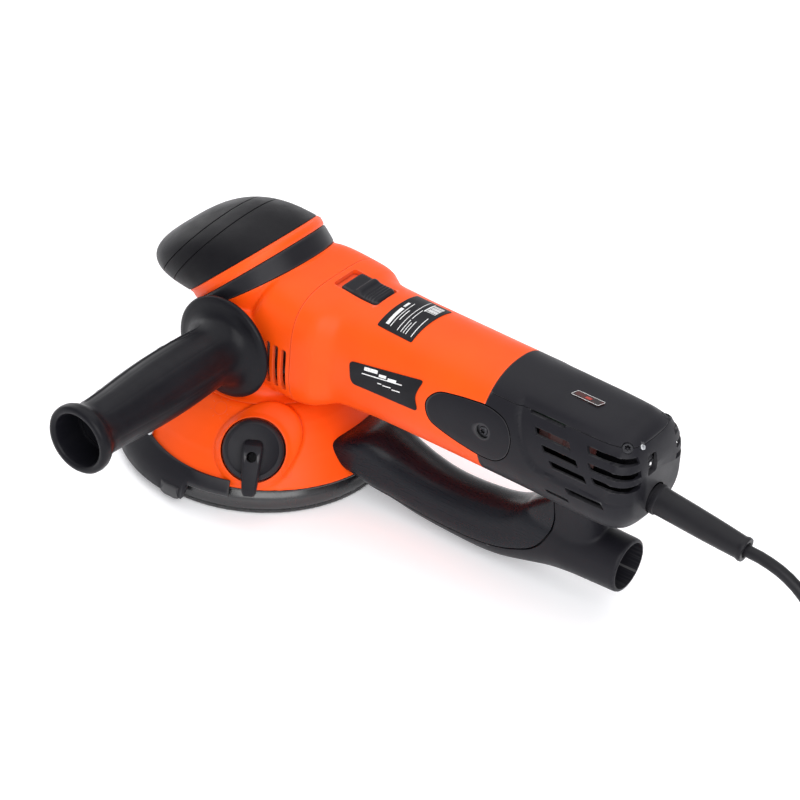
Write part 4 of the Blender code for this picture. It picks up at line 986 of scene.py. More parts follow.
# The vents' centres, and the half length of each row.
VENTS = (
    (10.8, ((200.5, 118.2), (207.8, 110.4), (214.2, 103.6), (220.6, 96.9), (232.4, 86.2))),
    (19.0, ((247.0, 112.4), (250.5, 105.2), (254.0, 98.4))),
)
VENT_HALF_HEIGHT, VENT_LEAN = 1.75, -0.7
LID_SCREW = (246.6, 19.2)


def head_shell():
    """The orange head: column, neck and handle bosses in one skin, then its joints and openings."""
    shell = solid("head_shell", column(0.0, 49.0, 8.0, 7.0))
    carve(shell, barrel(2.0, 56.0), "UNION")
    for side in (-1, 1):
        boss = [(0, 0.0), (20.5, 0.0), (20.5, 44.9), (20.0, 46.1), (19.0, 46.6), (0, 46.6)]
        carve(shell, turned(boss, 96, about((HANDLE_X, 0, HANDLE_Z), (0, side, 0))), "UNION")
    moulded(shell, 0.8, 12)
    carve(shell, above_plane(lambda a: band_drop(a) + SEAM, 0.0, 80.0))
    carve(shell, block((-80, -80, 20), (80, 80, SHOULDER_Z + SEAM)))
    carve(shell, block((HEAD_JOINT_X - SEAM / 2, -80, 20), (120, 80, 160)))
    carve(shell, barrel(2.0, 58.0, WALL))
    carve(shell, column(WALL, 40.0, 12.0, 0.0))
    for side in (-1, 1):
        carve(shell, rod(4.3, 25.0, 60.0, 48, about((HANDLE_X, 0, HANDLE_Z), (0, side, 0))))
        for x in (27.2, 32.7, 38.2, 43.7):
            high = 98.6 - 0.1 * (x - 27.2)
            outline = soft_box(x - 1.75, x + 1.75, 70.6, high, 1.7)
            carve(shell, prism_along_y(outline, *sorted((side * 33.0, side * 52.0))))
    return finished(shell, "orange", "gear_housing")


def motor_shell():
    """The orange barrel, with the sunken well of the switch and the pockets of the brush covers."""
    form = barrel(HEAD_JOINT_X + SEAM / 2, REAR_JOINT_X - SEAM / 2, step=1.2)
    shell = solid("motor_shell", form)
    well = soft_box(51.4, 80.6, -9.9, 9.9, 2.4)
    carve(shell, barrel(HEAD_JOINT_X - 2, REAR_JOINT_X + 2, WALL))
    carve(shell, prism_along_z(well, 120.0, 150.0))
    floor = soft_box(50.4, 81.6, -10.9, 10.9, 2.4)
    floor = [[Vector((x, y, z - 0.03 * (x - 51))) for x, y in floor] for z in (122.6, 125.4)]
    carve(shell, skin(floor), "UNION")
    stem = soft_box(60.0, 79.4, -7.2, 7.2, 1.0)
    carve(shell, prism_along_z(stem, 110.0, 127.0))
    for side in (-1, 1):
        carve(shell, cover_pocket(side))
    return finished(shell, "orange", "motor_housing")


def cover_pocket(side):
    """The room for a brush cover: sunk along the barrel's curve, with a gap round it."""
    gap, sunk = 0.6, 1.5
    middle = [sum(values) / len(COVER_OUTLINE) for values in zip(*COVER_OUTLINE)]
    loops = []
    for depth, shares in ((sunk, (0.002, 0.3, 0.6, 0.85, 1.0)), (-3.0, (1.0, 0.6, 0.002))):
        for share in shares:
            ring = []
            for a, b in COVER_OUTLINE:
                off = Vector((a - middle[0], b - middle[1]))
                off = off * share + off.normalized() * gap * share
                x, z = middle[0] + off.x, middle[1] + off.y
                ring.append(Vector((x, side * (flank_y(x, z) - depth), z)))
            loops.append(ring)
    return skin(loops)


def beside(side):
    """Turns (x, z) into a point well out from one flank."""
    return lambda x, z: Vector((x, side * 70.0, z))


def barrel_surface(start, end):
    """The outside of the barrel between two places along it, to lay plates on."""
    whole = solid("barrel_form", barrel(start, end, step=1.0))
    surface = surface_of(whole)
    bpy.data.objects.remove(whole)
    return surface


def flank_y(x, z):
    """How far out the barrel's flank is."""
    half, top, bottom, power = eased(BARREL, x)
    up = min(0.999, abs(z - (top + bottom) / 2) / ((top - bottom) / 2))
    return half * (1 - up**power) ** (1 / power)


def panel_depth(x, z):
    """How deep the flank's inset lies here: it starts at a soft line and runs to the rear."""
    line = [Vector(point) for point in PANEL_EDGE]
    point = Vector((x, z))
    near, side = 1e9, 1.0
    for a, b in zip(line, line[1:]):
        way = b - a
        share = min(1.0, max(0.0, (point - a).dot(way) / way.length_squared))
        off = point - (a + way * share)
        if off.length < near:
            near = off.length
            side = way.x * off.y - way.y * off.x
    sunk = blend_in(0.5 + math.copysign(near, side) / 3.2)
    return sunk * (1 - blend_in((x - 238.0) / 10.0) * 0.55)


def rear_form(name):
    """The rear end of the barrel with its sunken flank panels."""
    form = solid(name, barrel(REAR_JOINT_X + SEAM / 2, REAR_END_X, step=0.9, steps=240))
    for vertex in form.data.vertices:
        x, y, z = vertex.co / MM
        if abs(y) < 8.0 or z > 124.0:
            continue
        sunk = panel_depth(x, z)
        ridge = math.exp(-(((sunk - 0.35) / 0.24) ** 2)) if 0.02 < sunk < 0.98 else 0.0
        fade = blend_in((abs(y) - 8.0) / 6.0) * (1 - blend_in((z - 119.0) / 4.0))
        vertex.co.y -= math.copysign((sunk * 1.3 - ridge) * fade * MM, y)
    return form


def slanted(x, z, half_length, half_height):
    """A vent's outline: a parallelogram with rounded corners whose ends lean."""
    corners = []
    for end, up in ((-1, -1), (1, -1), (1, 1), (-1, 1)):
        corners.append((x + end * half_length + VENT_LEAN * up * half_height, z + up * half_height))
    return soft_outline(corners, 0.7, 2)


def rear_shell():
    """The charcoal shell at the back: its flank panel, vents, dial slot and cable hole."""
    shell = rear_form("rear_shell")
    carve(shell, barrel(REAR_JOINT_X - 2, REAR_END_X - WALL, REAR_WALL))
    carve(shell, lid_block(0.0))
    for side in (-1, 1):
        ends = sorted((side * 17.0, side * 45.0))
        for half_length, centres in VENTS:
            for x, z in centres:
                carve(shell, prism_along_y(slanted(x, z, half_length, VENT_HALF_HEIGHT), *ends))
        carve(shell, prism_along_y(slanted(216.0, 79.5, 7.0, 1.0), *ends))
        carve(shell, rod(1.9, 20.0, 45.0, 32, about((SCREW_X, 0, SCREW_Z), (0, side, 0))))
        carve(shell, cover_pocket(side))
    carve(shell, rod(8.7, -20.0, 10.0, 64, about(SLEEVE_FROM, (1, 0, 0))))
    slot = soft_box(-11.2, -2.8, 100.4, 111.8, 2.0)
    carve(shell, skin([[Vector((x, y, z)) for y, z in slot] for x in (247.0, 262.0)]))
    return finished(shell, "charcoal", "rear_housing", angle=30)


def lid_block(gap):
    """Where the lid sits, less a gap all round it: the roof of the rear shell down to one level."""
    edge = 25.4 - gap
    return block((REAR_JOINT_X - 1 + gap, -edge, 117.7 + gap), (253.0, edge, 150.0))


def lid():
    top = rear_form("rear_lid")
    carve(top, barrel(REAR_JOINT_X - 2, REAR_END_X - WALL, REAR_WALL))
    carve(top, lid_block(0.28), "INTERSECT")
    modify(top, "SMOOTH", iterations=1, factor=0.2)
    for side in (-1, 1):
        centre = Vector((LID_SCREW[0], side * LID_SCREW[1], 0))
        carve(top, rod(3.3, 110.0, 130.0, 48, about(centre)))
    window = soft_outline(led_corners(0.0), 0.8, 3)
    carve(top, prism_along_z(window, 118.0, 135.0))
    return finished(top, "charcoal", "rear_top_cover", angle=30)


def led_corners(grow):
    return (
        (203.6 - grow, -8.0 - grow),
        (220.4 + grow, -8.0 - grow),
        (222.0 + grow, -2.9 + grow),
        (205.2 - grow, -2.9 + grow),
    )


def led(surface):
    """The power light: a smoked lens in its window, with a thin pale rim."""
    outline = soft_outline(led_corners(-0.25), 0.8, 3, 2.0)
    finished(solid("power_light", prism_along_z(outline, 124.2, 126.1)), "lens", "led_lens")
    rim = soft_outline(led_corners(-0.1), 0.8, 3, 2.0)
    points = [dropped(surface, (x, y, 150), (0, 0, -1))[0] or Vector((x, y, 126.2)) for x, y in rim]
    points = [Vector((p.x, p.y, max(p.z, 126.0) + 0.02)) for p in points]
    tube("power_light_rim", points, 0.1, "print", cyclic=True)
    glow = soft_outline(((211.0, -6.4), (214.6, -6.4), (215.2, -4.6), (211.6, -4.6)), 0.5, 3, 2.0)
    finished(solid("power_light_lamp", prism_along_z(glow, 126.05, 126.25)), "lamp")


def screw(name, node, centre, way, head_r, dish=0.0):
    """A domed screw with a six-lobed recess and a security pin, in a washer if it has one."""
    here = about(centre, way)
    profile = [(0, -4.0), (head_r * 0.5, -4.0), (head_r * 0.5, -1.5)]
    profile += [(dish, -0.4), (dish, -0.15), (head_r, -0.15)] if dish else [(head_r, -1.2)]
    profile += [(head_r, 0.0), (head_r * 0.9, 0.35), (head_r * 0.6, 0.6), (0, 0.66)]
    head = solid(name, turned(profile, 48, here))
    star = []
    for angle in turns(48):
        radius = head_r * (0.5 + 0.1 * math.cos(6 * angle))
        star.append((radius * math.cos(angle), radius * math.sin(angle)))
    carve(head, prism_along_z(star, -0.8, 2.0, here))
    pin = [(0, -1.0), (head_r * 0.15, -1.0), (head_r * 0.15, 0.1), (0, 0.2)]
    carve(head, turned(pin, 20, here), "UNION")
    return finished(head, "black_steel", node)


def brush_covers():
    """The smooth pill on each flank, flush in its pocket, with a sunken screw."""
    surface = barrel_surface(120.0, 200.0)
    centre = (SCREW_X, SCREW_Z)
    gap, bore = 0.32, 4.1
    for side, word in SIDES:
        place, way = beside(side), (0, -side, 0)
        plate = draped(surface, COVER_OUTLINE, place, way, -1.1, -0.05, 0.3, centre, bore)
        cover = solid(f"brush_cap_{word}", plate)
        finished(cover, "charcoal", f"brush_cover_{word}")
        rim = [Vector(p) + (Vector(p) - Vector(centre)).normalized() * gap for p in COVER_OUTLINE]
        line = [dropped(surface, place(*p), way)[0] - Vector((0, side * gap, 0)) for p in rim]
        # A near-black cord laid in the gap round each cover, as painted shade in the seam.
        tube(f"brush_cap_gap_shade_{word}", line, 0.42, "seal", cyclic=True)
        seat = (SCREW_X, side * (flank_y(SCREW_X, SCREW_Z) - 1.0), SCREW_Z)
        screw(f"brush_screw_{word}", f"brush_cover_screw_{word}", seat, (0, side, 0), 2.6, dish=4.8)


# ---------------------------------------------------------------- plates and their print


PLATE_CORNERS = (
    (82.2, 104.0), (128.4, 110.6), (126.2, 105.0), (125.3, 100.4), (128.0, 92.9), (86.0, 91.3),
    (84.0, 93.5),
)
LABEL_CORNERS = ((90.0, 14.6), (113.5, 13.6), (111.7, -20.3), (88.8, -19.7))
# Printed bars, each as left, right, low and high.
PLATE_BARS = (
    (91.0, 116.5, 99.9, 100.5), (92.0, 100.5, 102.4, 104.4), (101.6, 106.2, 102.4, 104.0),
    (107.3, 112.6, 102.4, 104.0), (101.5, 104.0, 98.4, 99.0), (104.8, 110.0, 98.4, 99.0),
    (110.8, 116.0, 98.4, 99.0),
)
LABEL_BARS = (
    (92.4, 94.4, -17.0, -3.5), (92.4, 93.9, -2.0, 3.0), (95.6, 96.0, -17.4, 4.0),
    (97.3, 97.8, -12.0, -3.0), (100.3, 100.7, -17.8, 12.6), (102.6, 103.0, -17.8, -9.0),
    (102.6, 103.0, -8.0, 1.5), (104.2, 104.6, -17.8, -10.5), (105.8, 106.2, -17.8, -8.5),
    (109.4, 109.9, -18.0, -3.0),
)


def plates():
    """The blank name plates and the rating label, with plain printed bars and no lettering."""
    surface = barrel_surface(60.0, 150.0)
    outline = soft_outline(PLATE_CORNERS, 2.6, 4, 1.6)
    for side, word in SIDES:
        place, way = beside(side), (0, -side, 0)
        plate = solid(f"side_plate_{word}", draped(surface, outline, place, way, 0.02, 0.5))
        finished(plate, "plate", f"nameplate_{word}")
        bars = [printed_bar(surface, place, way, *row, 0.135, 0.53) for row in PLATE_BARS]
        finished(solid(f"side_print_{word}", *bars), "print")

    def place(u, v):
        return Vector((u, v, 170.0))

    way = (0, 0, -1)
    outline = soft_outline(LABEL_CORNERS, 0.9, 3, 1.6)
    label = solid("rating_plate", draped(surface, outline, place, way, 0.05, 0.35))
    finished(label, "plate", "rating_label")
    rows = list(LABEL_BARS)
    for i in range(9):
        start = 2.0 + i * 1.05
        rows.append((104.6, 110.6, start, start + (0.75 if i % 3 else 0.45)))
    rows.append((103.4, 104.2, 1.6, 12.0))
    bars = [printed_bar(surface, place, way, *row, 0.0, 0.38) for row in rows]
    finished(solid("rating_print", *bars), "print")


def printed_bar(surface, place, way, left, right, low, high, slope, lift):
    """A plain printed bar that lies just over a plate, following its curve."""
    mesh = bmesh.new()
    grid = []
    for u in spaced(left, right, 1.0):
        grid.append([])
        for v in spaced(low, high, 1.0):
            spot, normal = dropped(surface, place(u, v + slope * (u - left)), way)
            grid[-1].append(mesh.verts.new(spot + normal * lift))
    for a, b in zip(grid, grid[1:]):
        for i in range(len(a) - 1):
            mesh.faces.new((a[i], a[i + 1], b[i + 1], b[i]))
    return mesh


# ---------------------------------------------------------------- cap, band and ring


def dome(inset, steps=200):
    """The cap's leaning dome over its oval, smaller by an inset."""
    rings = []
    shares = [1 - (1 - i / 60) ** 1.7 for i in range(60)] + [0.9992]
    start = CAP_LIP / CAP_HEIGHT
    for share in (start + (1 - start) * share for share in shares):
        swell = (1 - share**CAP_POWER) ** (1 / CAP_POWER)
        swell *= 1 - inset / CAP_ALONG
        height, shift = (CAP_HEIGHT - inset) * share, -CAP_LEAN * share
        ring = []
        for angle in turns(steps):
            ring.append(ring_point(angle, CAP_ALONG * swell, CAP_ACROSS * swell, height, shift))
        rings.append(ring)
    return skin(rings)


def cap():
    """The soft dome: hollow, with two fine grooves moulded across it."""
    shell = solid("soft_cap", dome(0.0))
    lean, half_width, depth = math.radians(57.0), 0.275, 0.6
    up = Vector((math.cos(lean), 0, math.sin(lean)))
    across = Vector((math.sin(lean), 0, -math.cos(lean)))
    for x in (-24.5, -14.5):
        here = Matrix.Translation((x, 0, 140.0)) @ axes(across, Vector((0, 1, 0)), up)
        ring = solid("groove", block((-half_width, -60, -60), (half_width, 60, 30), here))
        carve(ring, dome(depth))
        carve(shell, ring)
    carve(shell, dome(3.0))
    return finished(shell, "cap", "head_cap", angle=40)


def oval_band(name, levels, steps=160):
    """A ring round the cap's oval from (inset, height) levels; a height may vary round it."""
    rings = []
    for inset, level in levels:
        ring = []
        for angle in turns(steps):
            height = level(angle) if callable(level) else level
            shift = -CAP_LEAN * max(0.0, height) / CAP_HEIGHT
            ring.append(ring_point(angle, CAP_ALONG - inset, CAP_ACROSS - inset, height, shift))
        rings.append(ring)
    return solid(name, skin(rings, closed=True))


def band_level(share):
    """Part of the way down the band, which is lowest at the back."""
    top = STRIPE_H + 0.8
    return lambda angle: -top - share * (band_drop(angle) - top)


def band_and_ring():
    """The thin orange ring under the dome and the black band under it."""
    top, low = CAP_LIP - 0.25, 0.1 - STRIPE_H
    levels = [(3.0, top), (0.35, top), (0.05, CAP_LIP - 0.6), (-0.1, 0.0), (-0.1, -2.2)]
    levels += [(0.05, -3.8), (0.45, low), (3.0, low)]
    finished(oval_band("accent_stripe", levels), "orange", "accent_ring")
    top = -STRIPE_H - 0.25
    levels = [(3.0, top), (0.5, top), (0.1, -STRIPE_H - 0.8)]
    for share in (0.2, 0.4, 0.6, 0.8, 0.95):
        levels.append((0.1 - 0.1 * math.sin(math.pi * share), band_level(share)))
    levels += [(0.5, lambda angle: -band_drop(angle)), (3.0, lambda angle: -band_drop(angle))]
    finished(oval_band("neck_band", levels), "band", "cap_band")


# ---------------------------------------------------------------- skirt, knob and guard


def cone_point(bearing, down, lift=0.0):
    """A point over the skirt's cone: down is measured along the slope from its shoulder."""
    radius = SHOULDER_R + down * math.cos(SLOPE) + lift * math.sin(SLOPE)
    height = SHOULDER_Z - down * math.sin(SLOPE) + lift * math.cos(SLOPE)
    return Vector((SPINDLE_X + radius * math.cos(bearing), radius * math.sin(bearing), height))


def knob_matrix():
    out = around(1.0, KNOB_BEARING)
    normal = out * math.sin(SLOPE) + Vector((0, 0, math.cos(SLOPE)))
    down = out * math.cos(SLOPE) - Vector((0, 0, math.sin(SLOPE)))
    frame = axes(down, normal.cross(down), normal)
    return Matrix.Translation(cone_point(KNOB_BEARING, KNOB_ALONG)) @ frame


def skirt():
    """The orange bell: its cone, rounded shoulder, the collar round the knob and moulded marks."""
    axis = about((SPINDLE_X, 0, 0))
    profile = [(0, 17.0), (RIM_R - 0.1, 17.0), (RIM_R, 17.3), (RIM_R, 18.0)]
    for share in spaced(0.04, 0.78, 0.02):
        radius = RIM_R + (SHOULDER_R - RIM_R) * share
        crease = 0.75 * blend_in((share - 0.3) / 0.06) * blend_in((0.8 - share) / 0.2)
        height = RIM_Z + (SHOULDER_Z - RIM_Z) * share + 0.7 * math.sin(math.pi * share)
        profile.append((radius, height + crease))
    for i in range(9):
        turn = SLOPE + (math.pi / 2 - SLOPE) * i / 8
        profile.append((43.4 + 10.5 * math.cos(turn), SHOULDER_Z - 10.5 + 10.5 * math.sin(turn)))
    profile += [(30, SHOULDER_Z), (0, SHOULDER_Z)]
    bell = solid("skirt_bell", turned(profile, 220, axis))
    here = knob_matrix()
    rings = []
    for height in (-9.0, -2.0, 0.0, 1.6, 3.2, 4.4, 4.8):
        ring = []
        spread = 1 - blend_in((height + 0.5) / 5.0)
        for angle in turns(120):
            toward = max(0.0, math.cos(angle - math.radians(142)))
            radius = 18.9 + 1.5 * spread + (9.5 * toward**3 + 1.2) * spread
            ring.append(here @ around(radius, angle, height))
        rings.append(ring)
    carve(bell, skin(rings), "UNION")
    moulded(bell, 0.75, 10)
    carve(bell, block((-100, -100, 0), (100, 100, 17.2)))
    carve(bell, rod(KNOB_R + 0.9, -4.5, 14.0, 96, here))
    room = [(0, 10.0), (73.8, 10.0), (73.2, 18.0), (48.2, SHOULDER_Z - 2.8), (0, SHOULDER_Z - 2.8)]
    room = solid("skirt_room", turned(room, 160, axis))
    carve(room, rod(KNOB_R + 3.0, -8.0, 8.0, 96, here))
    carve(bell, room)
    carve(bell, rod(4.4, -12.0, 12.0, 96, here))
    carve(bell, rod(30.0, 40.0, 70.0, 96, axis))
    carve(bell, rod(5.6, 45.0, 85.0, 48, about((0, 0, 28.4), (1, 0, 0))))
    finished(bell, "orange", "dust_skirt", angle=45)
    marks(surface_of(bell))


def on_cone(surface, bearing, down):
    """The point of the finished skirt under a point over its cone."""
    out = around(1.0, bearing) * math.sin(SLOPE)
    out.z = math.cos(SLOPE)
    place, _ = dropped(surface, cone_point(bearing, down, 12.0), -out)
    return place or cone_point(bearing, down)


def marks(surface):
    """Faint raised marks for the two modes, a circle with rays and a plain circle."""
    places = (("mode_mark_1", -81.0, 4.6, 3.6, 8), ("mode_mark_2", -42.5, 35.0, 3.4, 0))
    for name, degrees, down, radius, rays in places:
        bearing = math.radians(degrees)

        def spot(r, turn):
            a, b = r * math.cos(turn), r * math.sin(turn)
            reach = SHOULDER_R + (down + a) * math.cos(SLOPE)
            return on_cone(surface, bearing + b / reach, down + a)

        circle = [spot(radius, angle) for angle in turns(40)]
        tube(name, circle, 0.14, "orange", cyclic=True, sides=2)
        for i in range(rays):
            turn = 2 * math.pi * (i + 0.5) / rays
            ray = [spot(radius + 1.6 + k * 0.5, turn) for k in range(3)]
            tube(f"{name}_ray_{i + 1}", ray, 0.14, "orange", sides=2)


# The pointer's sections: place along it, half width, low, high, and how much its top narrows.
POINTER = (
    (-5.6, 3.4, 0.0, 8.6, 0.8), (-4.6, 4.8, 0.0, 10.6, 0.82), (-2.4, 5.5, 0.0, 13.0, 0.84),
    (1.0, 5.6, 0.0, 14.0, 0.84), (8.0, 5.2, 0.0, 14.3, 0.82), (15.5, 4.6, 0.5, 13.8, 0.8),
    (17.2, 4.4, 5.4, 13.5, 0.8), (23.4, 3.8, 6.0, 12.4, 0.8), (25.4, 2.8, 6.8, 11.4, 0.8),
)


def knob():
    """The round selector with its raised pointer and hole."""
    here = knob_matrix()
    disc = [(0, -7.5), (4.0, -7.5), (4.0, -4.0), (KNOB_R - 0.2, -4.0), (KNOB_R, -3.6)]
    disc += [(KNOB_R, 5.6), (KNOB_R - 0.5, 7.2), (KNOB_R - 1.5, 8.3), (KNOB_R - 2.6, 8.7)]
    disc += [(KNOB_R - 3.4, 8.2), (0, 8.0)]
    made = solid("selector_knob", turned(disc, 120, here))
    lever = []
    for along in (-5.6, -4.6, -2.4, 1.0, 4.0, 8.0, 12.0, 15.5, 17.2, 20.0, 23.4, 25.4):
        half, low, high, narrow = eased(POINTER, along)
        ring = []
        for side in (1, -1):
            corners = (
                (side, half, low + 0.4), (side, half, high - 1.4), (side, half * narrow, high),
            )
            ring += corners if side == 1 else corners[::-1]
        points = [Vector((along, side * b, c)) for side, b, c in ring]
        lever.append([here @ point for point in points])
    pointer = solid("pointer", skin(lever))
    bend = math.radians(28)
    modify(pointer, "BEVEL", width=0.45 * MM, segments=3, limit_method="ANGLE", angle_limit=bend)
    carve(made, pointer, "UNION")
    carve(made, rod(2.9, -2.5, 20.0, 48, here @ Matrix.Translation((4.0, 0, 0))))
    return finished(made, "charcoal", "mode_knob", "mode_knob", 32)


def guard():
    """The clip-on bumper round the front: a flange on the cone, with a hanging lip."""

    def ring_at(degrees):
        bearing = math.radians(degrees)
        share = (degrees - 66.0) / 114.0
        down = 41.5 - 10.5 * blend_in(share * 1.1)
        lip = blend_in((degrees - 83.2) / 1.6)
        lip_r, low = 80.2 + 3.4 * lip, 12.9 - 8.2 * lip
        c, s = math.cos(bearing), math.sin(bearing)
        points = [cone_point(bearing, down + 0.3, 0.35), cone_point(bearing, down, 1.2)]
        for along, lift in ((down + 0.6, 2.1), (min(41.6, down + 3), 2.3)):
            points.append(cone_point(bearing, along, lift))
        wall = [(79.2, 18.4), (80.4, 16.6), (80.9 + 0.9 * lip, 14.4), (lip_r - 0.9, 12.6 - lip)]
        wall += [(lip_r, low + 1.0), (lip_r - 0.5, low), (lip_r - 2.4, low)]
        wall += [(lip_r - 3.0, low + 1.6), (78.0, 12.8), (77.4, 17.4)]
        points += [Vector((SPINDLE_X + r * c, r * s, z)) for r, z in wall]
        return points

    half = [66.0, 66.4, 67.2, 70, 74, 78, 81, 82.6, 83.2, 83.6, 84.0, 84.4, 84.8, 85.4, 87]
    half += range(90, 181, 3)
    rings = [ring_at(degrees) for degrees in half]
    mirrored = [[Vector((p.x, -p.y, p.z)) for p in ring] for ring in rings[-2::-1]]
    made = solid("edge_bumper", skin(rings + mirrored))
    for side in (-1, 1):
        tab_rings = []
        for degrees, rise in ((86.0, 0.0), (87.0, 0.9), (92.0, 1.0), (94.5, 0.0)):
            bearing = side * math.radians(degrees)
            c, s = math.cos(bearing), math.sin(bearing)
            wall = ((82.2, 12.0), (83.4 + rise, 11.0), (83.6 + rise, 4.4), (82.2, 4.2))
            tab_rings.append([Vector((SPINDLE_X + r * c, r * s, z)) for r, z in wall])
        carve(made, skin(tab_rings), "UNION")
    finished(made, "charcoal", "edge_guard", angle=38)
    bearing = math.radians(-112.0)
    spot = cone_point(bearing, 36.5, 2.2)
    way = (math.cos(bearing) * 0.8, math.sin(bearing) * 0.8, 0.6)
    rivet = [(0, -0.6), (2.1, -0.6), (2.1, 0.3), (1.6, 0.9), (0.8, 1.2), (0, 1.25)]
    finished(solid("guard_rivet", turned(rivet, 40, about(spot, way))), "steel")


# ---------------------------------------------------------------- pad


HOOKS = 5200
GOLDEN = 0.6180339887


def pad():
    """The foam pad's rubber edge, its fastening face, and the nap of hooks round the rim."""
    here = about((0, 0, 0))
    edge = [(0, 2.0), (75.2, 2.0), (76.1, 2.7), (76.7, 4.4), (77.0, 6.8), (76.6, 9.2), (75.6, 11.4)]
    edge += [(74.4, 13.0), (73.4, 14.4), (70.5, 15.2), (69.0, 15.2), (69.0, 13.0), (0, 13.0)]
    body = finished(solid("pad_edge", turned(edge, 200, here)), "foam", "pad_foam", "pad")
    seal = [(72.6, 15.6), (75.0, 15.6), (76.0, 16.1), (76.2, 17.05), (72.6, 17.05)]
    finished(solid("rim_seal", turned(seal, 200, about((SPINDLE_X, 0, 0)))), "foam")
    mesh = turned([(0, 0.15), (75.0, 0.15), (75.8, 0.7), (75.9, 1.9), (0, 1.9)], 200, here)
    for i in range(HOOKS):
        angle = 2 * math.pi * (i * GOLDEN)
        spread = noise.noise(Vector((i * 0.37, 1.3, 0.0)))
        lift = noise.noise(Vector((i * 0.53, 7.1, 0.0)))
        base = around(75.8, angle, 1.1 + 0.9 * spread)
        out = around(1.0, angle + 0.6 * spread, 0.55 * lift - 0.2)
        tip = base + out * (1.0 + 0.55 * lift)
        tip.z = max(0.05, tip.z)
        side = Vector((-out.y, out.x, 0)) * 0.07
        corners = [mesh.verts.new(base + side), mesh.verts.new(base - side), mesh.verts.new(tip)]
        up = mesh.verts.new(base + Vector((0, 0, 0.12)))
        mesh.faces.new(corners)
        mesh.faces.new((corners[0], up, corners[2]))
        mesh.faces.new((up, corners[1], corners[2]))
    finished(solid("hook_nap", mesh), "hooks", "hook_face", "pad")


# ---------------------------------------------------------------- side handle


def handle():
    """The grip: a dished flange, a faceted barrel with moulded outlines, and an open rolled end."""
    face = 46.9
    profile = [(4.3, face), (28.4, face), (29.6, face + 0.4), (30.0, 48.4), (29.8, 49.4)]
    profile += [(28.8, 50.3), (26.4, 50.9), (23.6, 51.6), (21.2, 53.0), (19.4, 55.2)]
    profile += [(18.1, 58.2), (17.3, 61.8), (17.1, 65.5)]
    for share in spaced(0.0, 1.0, 0.04)[1:]:
        y = 65.5 + share * 86.0
        swell = 1.15 * math.sin(math.pi * min(1.0, share * 1.15))
        profile.append((17.1 + swell - 1.75 * share**2.2, y))
    profile += [(15.5, 154.0), (15.9, 156.4), (16.9, 158.6), (18.2, 160.2), (19.2, 162.2)]
    profile += [(19.5, 164.4), (19.2, 166.6), (18.2, 167.8), (16.8, 168.0), (15.5, 167.6)]
    profile += [(14.9, 166.4), (14.7, 163.0)]
    profile += [(14.3, 150.0), (12.8, 150.0), (12.6, 149.0), (0.0, 149.0), (0.0, 78.0), (4.3, 78.0)]
    to_world = about((HANDLE_X, 0, HANDLE_Z), (0, -1, 0))
    grip = solid("side_grip", turned(profile, 240, to_world))
    for vertex in grip.data.vertices:
        x, y, z = vertex.co / MM
        along = -y
        off = Vector((x - HANDLE_X, z - HANDLE_Z))
        if not 60.0 < along < 158.0 or off.length < 15.0:
            continue
        fade = blend_in((along - 60.0) / 12.0) * (1 - blend_in((along - 148.0) / 8.0))
        angle = math.atan2(off.y, off.x)
        facet = abs(math.sin(angle * 9.0)) ** 0.5
        grow = -0.1 * (1 - facet) * fade
        ridge = math.exp(-(((angle - math.radians(118)) / 0.045) ** 2)) * 0.8
        off = off.normalized() * (off.length + grow + ridge * fade)
        vertex.co = Vector((HANDLE_X + off.x, y, HANDLE_Z + off.y)) * MM
    finished(grip, "grip", "side_handle", angle=50)
    surface = surface_of(grip)
    shapes = {
        "grip_mark_1": (
            (64.0, 8.0), (72.0, -2.0), (86.0, 4.0), (90.0, 12.0), (80.0, 22.0), (66.0, 25.0),
        ),
        "grip_mark_2": ((138.0, 3.0), (150.0, 4.0), (152.0, 12.0), (146.0, 26.0), (137.0, 24.0)),
    }
    for name, corners in shapes.items():
        points = []
        for along, around in soft_outline(corners, 6.0, 5, 1.5):
            turn = math.radians(108.0) + around / 17.5
            way = Vector((math.cos(turn), 0, math.sin(turn)))
            start = Vector((HANDLE_X, -along, HANDLE_Z)) + way * 40
            place, normal = dropped(surface, start, -way)
            points.append(place + normal * 0.02)
        tube(name, points, 0.16, "grip", cyclic=True, sides=2)


# ---------------------------------------------------------------- duct and grip


GRIP_PARTING = (
    (58.0, 21.0), (78.0, 18.5), (93.0, 17.0), (116.0, 14.7), (140.0, 13.4), (161.0, 14.5),
    (176.0, 17.6), (188.0, 22.6), (196.0, 27.7), (202.0, 35.3), (205.4, 44.0), (206.6, 54.0),
    (204.0, 66.0),
)
# The strut's level sections: z, front, back and half width.
STRUT = (
    (26.0, 186.0, 234.0, 11.0), (40.0, 183.0, 231.0, 13.2), (47.0, 184.5, 231.0, 14.0),
    (53.5, 190.0, 231.0, 14.6), (59.5, 197.0, 232.0, 15.2), (66.0, 201.0, 236.0, 16.0),
)


def duct_section(x, inset=0.0, steps=120):
    return section(x, *eased(DUCT, x), steps, inset)


def duct_form(inset=0.0):
    """The duct and its strut, smaller by an inset."""
    rings = [duct_section(x, inset) for x in spaced(52.0, OUTLET_END_X, 1.5)]
    form = solid("duct_form", skin(rings))
    post = []
    for z in spaced(26.0, 66.0, 2.0):
        front, back, half = eased(STRUT, z)
        outline = rounded((back - front) / 2 - inset, half - inset, 3.0, 120)
        post.append([Vector(((front + back) / 2 + u, v, z)) for u, v in outline])
    carve(form, skin(post), "UNION")
    return form


